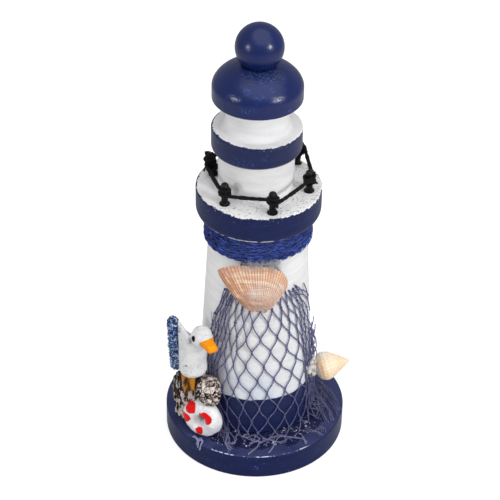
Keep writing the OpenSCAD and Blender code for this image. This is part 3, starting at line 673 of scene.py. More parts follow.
class LIGHTHOUSE_OT_rope(bpy.types.Operator):
    """Wind the royal blue rope round the tower"""

    bl_idname = "lighthouse.rope"
    bl_label = "Rope binding"

    def execute(self, context):
        sizes = context.scene.lighthouse_cords
        d = sizes.wrap_d / MM
        turns, steps, pitch = 6, 60, 2.0
        low = GALLERY_Z - 1.0 - turns * pitch
        route = []
        for k in range(turns * steps + 1):
            a, z = 360 * k / steps + 90, low + pitch * k / steps
            # The turns wander up and down and lie unevenly deep
            x, y, _ = polar(2.6, a, 0)
            swing = 0.5 * ripple(x, y, 3.1 * k / steps) * min(k / 30, 1)
            out = 0.22 * ripple(y, x, 1.3 * k / steps)
            route.append(polar(tower_r(z) + 0.2 + d / 2 + out, a, min(z + swing, GALLERY_Z - d / 2)))
        # Dyed sisal: coarse hard fibre, matt, its lit edges far paler than the hollows between the strands
        sisal = twine("dyed_sisal", sizes.rope, sizes.rope_light, 0.7, 0.25, fibre=0.5, stretch=(7, 7, 1),
                      depth=0.1, Sheen_Weight=0.1)
        line = curve_through(route)
        girth = [1.0 + 0.22 * noise.noise(Vector(p) * 0.5) for p in line]
        tone = [0.04 + 0.5 * max(noise.noise(Vector(p) * 0.3), 0) for p in line]
        cords("rope_binding_strands", [line], sisal, "blue_rope", d * 1.08, plies=2, lay=sizes.wrap_lay / MM,
              step=0.3, sides=8, girths=[girth], tones=[tone], stands_for=("rope_binding",))
        # A thinner strand lies in the groove between two turns, so the white tower isn't seen there
        groove = [
            polar(hypot(p[0], p[1]) - 0.55 * d, azimuth(p), p[2] + pitch / 2) for p in route[: -steps // 2]
        ]
        cords("rope_binding_core", [curve_through(groove, 0.8)], sisal, "blue_rope", 1.1, step=0.6, sides=7,
              tones=[0.0])
        random = np.random.default_rng(4)
        hairs, tones = [], []
        for _ in range(ROPE_HAIRS):
            a, z = random.uniform(0, 360), random.uniform(low + 0.2, GALLERY_Z - 1.2)
            r = tower_r(z) + 0.2 + d * 0.95
            run = random.uniform(2.0, 5.0) / r * RADIAN
            rise, out = random.uniform(0.2, 1.5), random.uniform(0.05, 0.4)
            along = np.linspace(0, 1, 6)
            hairs.append([polar(r + out * sin(t * 2.2), a + run * t, z + rise * t) for t in along])
            tones.append(random.choice([0.0, 0.15, 0.4, 0.9]))
        cords("rope_binding_fibres", hairs, sisal, "blue_rope", 0.24, step=0.5, sides=3,
              girths=[np.linspace(1, 0.4, 6)] * len(hairs), tones=tones)
        return {"FINISHED"}


# Railing posts: azimuth, reach, lean outward in degrees, and the lowest turn over the deck, the highest turn
# and the number of turns of the knot
POSTS = (
    (162, 22.4, 13, 4.0, 11.4, 6),
    (228, 23.2, 0, 4.4, 7.0, 2),
    (285, 24.6, 0, 4.2, 7.0, 2),
    (348, 23.8, 0, 4.4, 9.0, 3),
    (406, 25.4, 12, 4.0, 8.6, 3),
    (464, 24.8, 0, 4.6, 7.2, 2),
)
# Radius of the posts, and height of the railing cord over the deck
POST_R = 1.6
RAIL_Z = 5.9


def post_axis(i, h):
    """The middle of a post at a height over the deck."""
    angle, reach, lean = POSTS[i % 6][:3]
    return polar(reach, angle, DECK_Z) + polar(h * tan(radians(lean)), angle, h)


def side_angle(i):
    """Azimuth of the outer side of the cord's run from a post to the next."""
    d = post_axis(i + 1, 0) - post_axis(i, 0)
    return degrees(atan2(-d[0], d[1]))


def turns_at(i, h0, h1, start, sweep, reach, steps=18):
    """Points of a cord that winds round a post from the height h0 to h1."""
    return [
        post_axis(i, h0 + (h1 - h0) * k / steps) + polar(reach, start + sweep * k / steps, 0)
        for k in range(steps + 1)
    ]


def slack_run(a, b, i):
    """A run from post to post that hangs a little in the middle."""
    sag = 0.55 + 0.25 * sin(i * 2.1)
    return [a + (b - a) * t + np.array([0, 0, -4 * sag * t * (1 - t)]) for t in np.linspace(0.1, 0.9, 9)]


def rail_knot(i, reach):
    """Tilted turns of cord drawn tight round a post over the running cord."""
    angle, low, high, turns = POSTS[i][0], *POSTS[i][3:]
    points = []
    for k in range(turns * 16 + 1):
        t = k / (turns * 16)
        a = angle + 40 + 360 * turns * t
        lump = ripple(k * 0.13, i * 5.3)
        # The first post's knot is the longest: it is lumpier and tapers at its top
        swell = 0.15 + 1.2 * (lump - ease((t - 0.75) / 0.25)) if i == 0 else 0.15 + 0.6 * lump
        tilt = 0.9 * sin(radians(a) * 1.07 + 1.9 * i) + 0.6 * lump
        points.append(post_axis(i, low + (high - low) * t + tilt) + polar(reach + swell, a, 0))
    return curve_through(points, 0.35)


class LIGHTHOUSE_OT_railing(bpy.types.Operator):
    """Finish the railing posts and tie the black cord round them"""

    bl_idname = "lighthouse.railing"
    bl_label = "Railing"

    def execute(self, context):
        sizes = context.scene.lighthouse_cords
        # Matt black craft paint, thick at the post's foot, with dull worn spots on its cap
        f = Finish("matt_black_acrylic", 0.34, 0.16)
        worn = f.all(f.height(DECK_Z + 8, DECK_Z + 11), f.patches(1.2, 0.4, 0.7))
        black = f.done(f.coats(sizes.black, (worn, "#2E2E33")), (1.4, 0.25))
        for i in range(1, 7):
            coat_node("railing_post_%d" % i, black)
        d = sizes.rail_d / MM
        reach = POST_R + d / 2 - 0.25
        rise = d + 0.45
        route = turns_at(0, RAIL_Z - rise, RAIL_Z, side_angle(0) - 360, 360, reach)
        for i in range(1, 6):
            a = side_angle(i - 1)
            sweep = 360 + (side_angle(i) - a) % 360
            run = turns_at(i, RAIL_Z + rise * sweep / 360, RAIL_Z, a, sweep, reach, 26)
            route += slack_run(route[-1], run[0], i) + run
        last = turns_at(0, RAIL_Z + rise, RAIL_Z + 2 * rise, side_angle(5), 360, reach)
        line = curve_through(route + slack_run(route[-1], last[0], 0) + last, 0.35)
        # Waxed cotton cord: black and matt, its plies clear to see
        cotton = twine("black_waxed_cotton", sizes.black, "#1E1E22", 0.6, 0.1)
        girth = [0.95 + 0.5 * noise.noise(Vector(p) * 0.7) for p in line]
        cords("railing_cord", [line], cotton, "black_cord", d, plies=3, lay=2.8, step=0.3, sides=8,
              girths=[girth], stands_for=("railing_rope",))
        knots = [rail_knot(i, POST_R + 0.3 * d) for i in range(6)]
        cords("railing_knots", knots, cotton, "black_cord", d * 0.68, plies=2, lay=2.4, step=0.3, sides=7)
        ends = []
        for i, a, h in ((0, 195, 4.6), (2, 280, 3.6), (3, 10, 4.0)):
            start = post_axis(i, h) + polar(reach, a, 0)
            end = [start, start + polar(1.3, a + 25, -0.2), start + polar(2.2, a + 40, -1.3)]
            ends.append(curve_through(end, 0.4))
        cords("railing_cord_ends", ends, cotton, "black_cord", d * 0.6, plies=2, lay=2.0, step=0.3, sides=6)
        return {"FINISHED"}


# Net


# Rows and columns of the net's knots, height from row to row, and height of the top row
NET_ROWS = 12
NET_COLS = 15
NET_PITCH = 8.27
NET_TOP = 97.0
# The net's bunched top: its strands, and the height of its upper end and of its whole length
GATHER_STRANDS = 84
GATHER_TOP = 115.6
GATHER_H = 18
# Hairs of the fluff at the bunched top, and stray ends at the net's two sides
FLUFF_HAIRS = 950
SIDE_STRAYS = 42
# Azimuths of the knots: row, then pairs of column and degrees
NET_KEYS = (
    (0, ((0, -127), (5, -112), (8, -93), (9, -80), (12, -58), (15, -42))),
    (2, ((0, -140), (5, -121), (8, -94), (9, -77), (10, -63), (12, -43), (15, -24))),
    (4, ((0, -149), (5, -122), (7, -110), (8, -93.5), (9, -75), (10, -56), (11, -39), (15, -16))),
    (6, ((0, -154), (5, -132), (7, -106.5), (8, -88), (9, -70.5), (10, -50), (11, -30.5), (15, -12))),
    (8, ((0, -143), (5, -128), (6, -118), (8, -85), (9, -67), (10, -47), (11, -28), (15, -8))),
    (10, ((0, -128), (5, -115), (8, -86), (10, -54), (12, -26), (15, -6))),
    (12, ((0, -114), (5, -104), (8, -86), (10, -58), (12, -32), (15, -4))),
)
# Cut ends on the base, as x and y
BASE_ENDS = (
    ((-2.6, -43.6), (1.5, -38.7), (3.1, -35.0), (9.6, -31.1), (12.5, -29.5)),
    ((7.2, -42.8), (9.6, -37.3), (11.7, -31.9), (14.6, -29.9)),
    ((14.6, -29.9), (19.5, -31.2), (24.5, -31.9), (26.3, -35.0)),
    ((24.1, -28.8), (24.9, -31.7), (25.5, -35.0)),
    ((25.4, -25.0), (31.2, -26.9), (33.7, -27.9)),
    ((31.2, -24.9), (34.4, -21.7), (34.7, -26.3)),
    ((-16.3, -26.1), (-12.1, -28.1), (-10.3, -30.0), (-8.5, -32.9), (-10.9, -36.7), (-14.2, -36.2),
     (-11.2, -40.9)),
    ((-16.0, -27.7), (-12.9, -30.1), (-13.7, -35.3), (-10.6, -40.3)),
    ((-3.7, -31.9), (-0.5, -30.5), (3.0, -32.5), (-2.0, -36.0)),
    ((3.9, -30.6), (7.9, -32.7), (13.4, -33.6), (18.4, -30.2)),
    ((-8.6, -29.0), (-5.5, -31.1), (-1.0, -33.7), (4.0, -35.1)),
    ((29.8, 2.5), (32.8, -1.3), (38.2, -8.9), (39.7, -17.8)),
    ((31.9, 11.9), (36.8, 1.4), (40.8, -7.5), (42.0, -12.6)),
    ((31.4, 8.1), (34.9, -1.2), (39.0, -11.9)),
    ((32.6, 13.8), (38.1, 5.4), (43.0, -4.8)),
    ((35.1, 11.5), (33.8, -1.3), (31.1, -9.2)),
    ((30.4, 11.3), (32.3, 1.0), (34.2, -8.2), (36.5, -18.1)),
    ((34.6, 9.9), (40.0, 2.1), (43.2, -9.5)),
    ((37.0, 5.2), (34.3, -5.1), (30.5, -15.3)),
)
# Cut ends on the tower, as azimuth and height
TOWER_ENDS = (
    ((-46, 99), (-38, 95), (-30, 89)),
    ((-52, 96), (-40, 95), (-28, 91), (-20, 86)),
    ((-30, 96), (-25, 90), (-21, 83)),
    ((-44, 93), (-32, 90), (-22, 84), (-17, 76)),
)
# Tuft of glued ends over the base's edge below the ring, as x, y and z
RIM_TUFT = (
    ((-29.6, -30.4, 13.7), (-28.4, -33.0, 13.8), (-27.4, -35.4, 13.2), (-27.3, -36.0, 10.6)),
    ((-26.7, -32.2, 13.7), (-25.6, -34.8, 13.9), (-26.2, -36.6, 12.9), (-26.8, -36.6, 9.8)),
    ((-30.4, -31.2, 13.7), (-27.8, -33.4, 14.2), (-25.0, -34.6, 13.9)),
    ((-28.0, -32.6, 13.7), (-27.8, -34.6, 14.0), (-28.4, -35.4, 12.4)),
    ((-25.8, -33.6, 13.7), (-27.2, -35.0, 13.9), (-27.6, -35.9, 11.6)),
)


def net_point(c, r, lift):
    """A point of the net at any column and row: on the tower's cone above, out over the base below."""
    i = max([k for k in range(len(NET_KEYS) - 1) if NET_KEYS[k][0] <= r], default=0)
    (r0, low), (r1, high) = NET_KEYS[i : i + 2]
    a, b = (np.interp(c, *zip(*pairs)) for pairs in (low, high))
    a += (b - a) * ((r - r0) / (r1 - r0)) + net_wave(c, r)
    # The net is tangled near its lower edge, and stands off the tower at its right side
    tangle = ease((r - 10.3) / 1.2)
    a += 5.0 * tangle * ripple(c * 1.3, r * 1.7, 4.0)
    if r >= 11:
        out = 5 + (6 + 3 * ease((c - 9) / 5)) * (r - 11) + 1.8 * tangle * ripple(c * 1.1, r * 2.1, 9.0)
        return polar(min(FOOT_R + out, BASE_R - 1.2), a, BASE_TOP + 0.6 + lift * 0.6)
    if r > 10:
        low, high = net_point(c, 10, lift), net_point(c, 11, lift)
        return low + (high - low) * (r - 10)
    z = max(NET_TOP - NET_PITCH * r, BASE_TOP + 2.6)
    bulge = 1.6 * ease((c - 12) / 3) * exp(-(((r - 6) / 3) ** 2))
    return polar(tower_r(z) + 0.5 + lift + bulge, a, z + net_wave(r, c))


def net_wave(c, r):
    return 0.4 * sin(radians(137 * c + 71 * r))


def net_run(c0, r0, rows, step, lift):
    """One twine from knot to knot. It bows a little between them."""
    points = []
    for r in rows:
        c = c0 + step * (r - r0 - 0.07 * sin(2 * pi * (r % 1)))
        points.append(net_point(min(max(c, 0), NET_COLS), r, lift + 0.4 * sin(pi * (r % 1))))
    return curve_through(points, 0.45)


def net_girth(run):
    """The twine is thinner where it is pulled together at the left, and where the glue soaked it low down."""
    return [(0.72 + 0.28 * ease((azimuth(p) + 118) / 12)) * (0.64 + 0.36 * ease((p[2] - BASE_TOP - 8) / 14))
            for p in run]


def net_ties(knots, material, d):
    """Geometry nodes: the same small knot at every crossing, each turned and sized its own way."""
    work = bmesh.new()
    bmesh.ops.create_uvsphere(work, u_segments=6, v_segments=5, radius=1.0)
    for v in work.verts:
        groove = 1 + 0.22 * sin(7 * v.co.z + 2 * atan2(v.co.y, v.co.x))
        v.co = Vector((v.co.x * 0.8 * groove, v.co.y * 0.8 * groove, v.co.z)) * d * 0.85 * MM
    data = bpy.data.meshes.new("net_knot")
    work.to_mesh(data)
    work.free()
    one = bpy.data.objects.new("net_knot", data)
    tree, given = open_tree("net_knots", Knot="Object", Smallest="Float", Largest="Float", Finish="Material")
    knot = put(tree, "GeometryNodeObjectInfo", {"Object": given["Knot"]}, "Geometry")
    turn = {"Min": (-0.5, -0.5, 0), "Max": (0.5, 0.5, 6.28), "Seed": 3}
    turn = put(tree, "FunctionNodeRandomValue", turn, data_type="FLOAT_VECTOR")
    size = {2: given["Smallest"], 3: given["Largest"], "Seed": 5}
    size = put(tree, "FunctionNodeRandomValue", size, 1, data_type="FLOAT")
    spots = put(tree, "GeometryNodeMeshToPoints", {"Mesh": given["Geometry"]})
    many = {"Points": spots, "Instance": knot, "Rotation": turn, "Scale": size}
    close_tree(tree, put(tree, "GeometryNodeInstanceOnPoints", many), given["Finish"])
    data = bpy.data.meshes.new("net_ties")
    data.from_pydata(metres(knots), [], [])
    made = dress(link("net_ties", data), tree, Knot=one, Smallest=0.8, Largest=1.25, Finish=material)
    bpy.data.objects.remove(one)
    return settle(made, "net_cord")


def net_gather(material):
    """The net's bunched top behind the fan shell."""
    random = np.random.default_rng(21)
    runs = []
    for k in range(GATHER_STRANDS):
        s = (k + random.uniform(-0.4, 0.4)) / (GATHER_STRANDS - 1)
        depth = random.uniform(0.0, 2.0) * (1 - abs(2 * s - 1) ** 3)
        a0, a1 = -108 + 38 * s, -123 + 62 * s
        lean = random.uniform(-3, 3)
        points = []
        for t, shake in zip(np.linspace(0, 1, 7), random.uniform(-0.8, 0.8, 7)):
            z = GATHER_TOP - GATHER_H * t
            a = a0 + (a1 - a0) * ease(t) + lean * sin(3.1 * t) + shake
            points.append(polar(tower_r(z) + 0.4 + depth * (0.6 + 0.4 * sin(3 * t + k)), a, z))
        runs.append(curve_through(points, 0.7))
    return cords("net_gather_strands", runs, material, "net_cord", 0.6, plies=2, lay=1.8, step=0.6, sides=4,
                 stands_for=("net_gather",))


def net_fluff():
    """Frayed fibre between the rope and the fan shell, spilling over the shell's edge at the right."""
    random = np.random.default_rng(5)
    hairs, tones = [], []
    for k in range(FLUFF_HAIRS):
        share = random.random() ** 0.8
        z = random.uniform(109, 117.0)
        spot = polar(tower_r(z) + random.uniform(0.6, 2.6), -107 + 41 * share, z)
        if k % 7 == 0:
            z = random.uniform(115.4, 117.6)
            spot = np.array([random.uniform(-7, 9), -27.8 - random.uniform(0, 2.2), z])
        line = [spot]
        heading = Vector(random.normal(size=3)).normalized()
        for _ in range(6):
            heading = (heading + Vector(random.normal(size=3)) * 0.55).normalized()
            spot = spot + np.array(heading) * 0.5
            room = tower_r(spot[2]) + (0.3 if spot[2] < 115.4 else 2.3)
            spot = spot * (*[max(room / hypot(spot[0], spot[1]), 1)] * 2, 1)
            line.append(spot)
        hairs.append(line)
        tones.append(0.1 + 0.75 * share * random.uniform(0.5, 1.0))
    # Frayed polyester: pale grey violet, translucent to the eye because the fibres are so thin
    frayed = twine("frayed_polyester", linear("#75738E"), "#F0EDF2", 0.8, 0.3, Sheen_Weight=0.3)
    cords("net_fluff", hairs, frayed, "net_cord", 0.13, step=0.5, sides=3,
          girths=[np.linspace(1, 0.5, 7)] * len(hairs), tones=tones)


def net_strays(material, d):
    """Cut ends: in the glue on the base, at the net's upper right edge and in its dense left side."""
    random = np.random.default_rng(33)
    lines, girths, tones = [], [], []

    def lay(points, step, girth, tone):
        lines.append(curve_through(points, step))
        girths.append(girth)
        tones.append(tone)

    for flat in BASE_ENDS:
        route = [np.array([x, y, BASE_TOP + 0.9 + 0.5 * sin(1.7 * i + x)]) for i, (x, y) in enumerate(flat)]
        # At the right the ends lie in a dark bundle
        bundle = flat[-1][0] > 27
        lay(route, 0.5, *((0.36, 0.12) if bundle else (0.5, 0.75)))
        for _ in range(3 if bundle else 1):
            near = route + random.uniform(-1.4, 1.4, size=(len(route), 3)) * (1, 1, 0.4)
            near[:, 2] = np.maximum(near[:, 2], BASE_TOP + 0.45)
            lay(near, 0.5, 0.22, random.uniform(0.0, 0.8) if bundle else 1.0)
    for flat in RIM_TUFT:
        for shake in (0, 0.5, 0.8, 0.8):
            near = np.array(flat) + random.uniform(-shake, shake, size=(len(flat), 3)) * (1, 0.3, 0.2)
            lay(near, 0.4, 0.8 if shake == 0 else 0.4, 1.1)
    for route in TOWER_ENDS:
        lay([polar(tower_r(z) + 0.9 + 0.4 * (i % 2), a, z) for i, (a, z) in enumerate(route)], 0.5, 0.9, 0.1)
    for k in range(SIDE_STRAYS):
        right = k % 3 == 0
        a0 = random.uniform(-24, -5) if right else random.uniform(-141, -120)
        z0 = random.uniform(46, 70) if right else random.uniform(50, 84)
        drop, bend = random.uniform(10, 22), random.uniform(-5, 5)
        out = random.uniform(0.4, 2.4) if right else random.uniform(0.2, 0.8)
        spots = []
        for t in np.linspace(0, 1, 8):
            z = z0 - drop * t
            r = tower_r(z) + 0.9 + out * abs(sin(3 * t + a0))
            spots.append(polar(r, a0 + bend * t + 2.5 * sin(4 * t + z0), z))
        lay(spots, 0.5, *((0.8, random.uniform(0.1, 0.4)) if right else (0.32, random.uniform(0.5, 1.3))))
    return cords("net_strays", lines, material, "net_cord", d, plies=2, lay=1.9, step=0.45, sides=4,
                 girths=girths, tones=tones)


class LIGHTHOUSE_OT_net(bpy.types.Operator):
    """Drape the knotted net over the tower and the base"""

    bl_idname = "lighthouse.net"
    bl_label = "Net"

    def execute(self, context):
        sizes = context.scene.lighthouse_cords
        d = sizes.net_d / MM
        # Spun polyester twine: grey blue, dull, paler where it is frayed or has glue on it
        polyester = twine("spun_polyester", sizes.net, sizes.net_light, 0.7, 0.3, Sheen_Weight=0.25)
        random = np.random.default_rng(12)
        runs, tones = [], []
        for step in (0.5, -0.5):
            starts = [(c, 0) for c in range(NET_COLS + 1)]
            starts += [(0 if step > 0 else NET_COLS, r) for r in range(2, NET_ROWS, 2)]
            for c, r in starts:
                count = min(NET_ROWS - r, 2 * (NET_COLS - c if step > 0 else c))
                if count < 1:
                    continue
                rows = np.linspace(r, r + count, count * 7 + 1)
                if rows[-1] > 11.9:
                    rows = rows[rows <= random.uniform(10.5, 11.8)]
                run = net_run(c, r, rows, step, 0.12 if step > 0 else -0.05)
                low = np.array([1 - ease((p[2] - BASE_TOP) / 14) for p in run])
                runs.append(run)
                tones.append((0.04 + 0.14 * random.random()) * (0.2 if c < 5 else 1.0) + 0.16 * low)
        net = cords("net_runs", runs, polyester, "net_cord", d, plies=2, lay=2.4, step=0.45, sides=5,
                    girths=[net_girth(run) for run in runs], tones=tones, stands_for=("fishing_net",))
        crossings = [(i + r % 2 / 2, r) for r in range(NET_ROWS) for i in range(NET_COLS + 1 - r % 2)]
        knots = [net_point(c, r, 0.1) for c, r in crossings]
        ties = net_ties(knots, polyester, d)
        strands = net_gather(polyester)
        net_fluff()
        net_strays(polyester, d)
        return {"FINISHED"}


# Glue


# Lumps of glue between the tower, the net and the whelk's open end, as x, y, z and radius
WHELK_GLUE = (
    (28.5, -8.0, 46.2, 1.3), (27.6, -11.3, 43.8, 1.6), (26.2, -13.8, 44.2, 1.0), (26.6, -13.4, 42.0, 1.2),
    (29.2, -7.0, 36.6, 1.8), (28.6, -9.6, 38.2, 1.4), (27.9, -4.4, 36.6, 3.0), (28.2, -7.0, 38.2, 2.5),
    (28.0, -8.4, 40.6, 2.2), (27.8, -8.6, 37.0, 2.0), (28.6, -3.2, 40.2, 2.4), (28.2, -7.0, 43.4, 2.2),
    (26.8, -11.4, 43.2, 1.7), (27.0, -11.2, 40.4, 1.6), (28.2, -5.0, 34.2, 2.0), (27.4, -9.6, 45.0, 1.5),
    (25.6, -13.0, 44.0, 1.1),
)


def lumpy(p):
    return 0.4 * noise.noise(p * 0.6) + 0.15 * noise.noise(p * 1.7)


class LIGHTHOUSE_OT_glue(bpy.types.Operator):
    """Pour the clear hot glue along the tower's foot and behind the shells"""

    bl_idname = "lighthouse.glue"
    bl_label = "Hot glue"

    def execute(self, context):
        # Hot melt glue: clear and very smooth, so over navy paint it is seen by its small bright glints, some
        # of them painted as white specks
        f = Finish("clear_hot_melt", 0.07, 0.35, IOR=1.48)
        # Small white specks in the glue: partly milky glue, partly painted glints
        milky_specks_and_glints = f.all(f.patches(1.5, 0.62, 0.65, (1.8, 1, 1), 3.0), f.patches(5, 0.46, 0.52))
        f.feed(Alpha=f.put(RANGE, {0: milky_specks_and_glints, 3: 0.3, 4: 0.95}))
        wavy = f.patches(2.6, 0.2, 0.8, detail=0.0)
        self.puddle(f.done(f.coats("#141A44", (milky_specks_and_glints, "#E2E5F2")), (wavy, 0.2)))
        # The same glue where it cooled thick: milky white, with fluff of the net in it
        f = Finish("milky_hot_melt", 0.38, 0.35, IOR=1.48)
        # A small dark dab where the glue meets the whelk's open end: painted shadow of the hole there
        dark = f.dab((25.9, -11.6, 41.4), 0.9, 0.5, 1.0, 1.0)
        milky = f.coats("#A3A3A2", (f.patches(1.8, 0.4, 0.6), "#E2DFDA"), (dark, "#4A433C"))
        milky = f.done(milky, (1.2, 0.3))
        cast("shell_glue_pads", from_node("shell_glue"), None, "clear_glue", ("shell_glue",), milky,
             grain=0.35, passes=6)
        lumps = bmesh.new()
        for x, y, z, r in WHELK_GLUE:
            spot = Matrix.Translation(Vector((x, y, z)) * MM)
            bmesh.ops.create_icosphere(lumps, subdivisions=3, radius=r * MM, matrix=spot)
        cast("whelk_glue_lip", lumps, lumpy, "clear_glue", (), milky, grain=0.3)
        return {"FINISHED"}

    def puddle(self, material):
        """The glue's wavy skin from the tower's foot out over the base, with its ragged outer edge."""
        rows, spans = 15, np.arange(-163, -3.9, 1.0)
        top, under = [], []
        for a in spans:
            edge = 9.6 + 3.4 * ripple(a * 0.07, 0.3, 1.7) + 1.6 * ripple(a * 0.3, 5.1)
            edge -= 3.0 * ease((-a - 150) / 12) + 3.0 * ease((a + 24) / 18)
            for k in range(rows):
                t = k / (rows - 1)
                r = FOOT_R - 0.1 + edge * t
                wave = 0.5 + 0.5 * ripple(a * 0.16, t * 4.2, 3.3) + 0.3 * ripple(a * 0.24, t * 4.6)
                h = 1.9 * (1 - t) ** 4 + (0.25 + 0.75 * wave) * sqrt(1 - t**4)
                top.append(polar(r, a, BASE_TOP + 0.03 + max(h, 0)))
                under.append(polar(r, a, BASE_TOP + 0.02))
        faces = slab_faces(len(spans), rows)
        skin("glue_puddle", top + under, faces, material, "clear_glue", "glue_fillet")


# Shells


# Place of the fan shell's beak, its lean in degrees and the number of its ribs
CLAM_AT = (1.6, -27.1, 91.2)
CLAM_LEAN = 2.3
CLAM_RIBS = 38
# The fan shell's outline, as angle and reach from its beak
CLAM_MARGIN = ((32, 7), (43, 12), (46, 18), (55, 21.7), (66, 24.2), (76, 25), (97, 25.2), (107, 26.4),
               (116, 27.9), (127, 29.9), (132, 29.9), (139, 22), (144, 17.4), (156, 10))


def shell_attributes(f, *names):
    return [f.put(ATTRIBUTE, out="Fac", attribute_name=name) for name in names]


class LIGHTHOUSE_OT_fan_shell(bpy.types.Operator):
    """Model the ribbed fan shell"""

    bl_idname = "lighthouse.fan_shell"
    bl_label = "Fan shell"

    def execute(self, context):
        shells = context.scene.lighthouse_shells
        cols, rows = CLAM_RIBS * 8 + 1, 80
        reach = np.interp(np.linspace(156, 32, cols), *zip(*CLAM_MARGIN))
        turn = Matrix.Rotation(radians(90 + CLAM_LEAN), 3, "X")
        outer, inner, across, out = [], [], [], []
        # t runs from the beak to the margin, and s from the left to the right
        for i in range(rows):
            t = (i / (rows - 1)) ** 0.9
            rise = 1 - ((t - 0.34) / 0.66) ** 2 if t > 0.34 else 1 - 0.9 * ((0.34 - t) / 0.34) ** 2
            for j in range(cols):
                s = j / (cols - 1)
                a = radians(156 - 124 * s)
                side = 1 + (sqrt(max(1 - abs(2 * s - 1) ** 4, 0)) - 1) * min(t / 0.2, 1)
                # The arched back carries round ribs, crossed by shallow growth steps
                ridge = (0.5 - 0.5 * cos(2 * pi * CLAM_RIBS * s)) ** 0.7
                growth = 0.16 * (9 * t + 0.5 * ripple(3 * s, 7 * t) - 0.35) % 0.16
                h = 8 * rise * side + (0.24 * ridge * min(4 * t, 1) - growth * min(2 * t, 1) + 0.05) * side
                m = reach[j] * t
                edge = m * (1 + 0.008 * ridge * ease((t - 0.9) / 0.1))
                outer.append(turn @ Vector((edge * cos(a), edge * sin(a), h)) + Vector(CLAM_AT))
                low = Vector((m * 0.93 * cos(a), 1.2 + m * 0.92 * sin(a), max(h - 1.1, 0) + 0.02))
                inner.append(turn @ low + Vector(CLAM_AT))
                across.append(s)
                out.append(t)
        faces = slab_faces(rows, cols)
        lime = self.lime(shells)
        made = skin("fan_shell_ribbed", outer + inner, faces, lime, "fan_shell_lime", "fan_shell")
        store(made, across=across * 2, out=out * 2)
        return {"FINISHED"}

    def lime(self, shells):
        # Sea-worn shell lime: satin, peach ribs between rust grooves, crossed by cream growth bands
        f = Finish("scallop_shell_lime", 0.48, 0.4)
        across, out = shell_attributes(f, "across", "out")
        flat = f.put("ShaderNodeCombineXYZ", (across, out))
        # 18 rays across the shell, and 15 bands and 46 growth lines from beak to margin
        rays = f.patches(1000 / 18, 0.38, 0.53, (1, 4, 1), place=flat)
        bands = f.patches(1000 / 15, 0.47, 0.56, (7, 1, 1), 3.0, place=flat)
        lines = f.patches(1000 / 46, 0.45, 0.62, (30, 1, 1), 2.0, place=flat)
        wave = f.put(MATH, (across, 2 * pi * CLAM_RIBS, -pi / 2), operation="MULTIPLY_ADD")
        wave = f.put(MATH, (wave,), operation="SINE")
        groove = f.put(RANGE, (wave, -0.9, -0.1, 0.7, 0.0))
        left = f.put(RANGE, (across, 0.1, 0.5, 1.0, 0.24))
        low = f.put(RANGE, (out, 0.4, 0.85, 0.62, 0.3))
        right = f.put(RANGE, (across, 0.3, 0.7, 0.55, 0.95))
        stain = f.all(rays, left, f.put(RANGE, (out, 0.1, 0.5, 0.3, 0.9)))
        colour = f.coats(
            shells.peach,
            (f.all(f.dab((3.5, -33.5, 101.0), 9.5, 4.0, 4.0, 4.0), 0.7), "#F0DCD2"),
            (f.all(bands, right), shells.cream),
            (stain, shells.rust),
            (f.all(lines, low), "#A87250"),
            (groove, "#AC7650"),
            (f.all(f.dab((-1.3, -34.6, 105.3), 2.6, 1.8, 3.0, 2.0), 0.4), "#D9D5D2"),
            (f.put(RANGE, (out, 0.03, 0.25, 0.5, 0.0)), shells.cream),
        )
        return f.done(colour, (bands, 0.12), (lines, 0.07))


# Place of the coiled shell's blunt end, its turn and lean in degrees, its length and largest radius, and the
# numbers of its whorls and ribs
WHELK_AT = (29.81, -3.61, 36.4)
WHELK_TURN = 8
WHELK_LEAN = -12
WHELK_L = 17.9
WHELK_R = 7.3
WHELK_WHORLS = 4.5
WHELK_RIBS = 28
# Outline as share of the length from the blunt end and share of the largest radius
WHELK_OUTLINE = ((0, 0.34), (0.05, 0.62), (0.12, 0.84), (0.22, 0.98), (0.32, 1), (0.45, 0.9), (0.6, 0.68),
                 (0.75, 0.46), (0.9, 0.2), (1, 0.06))


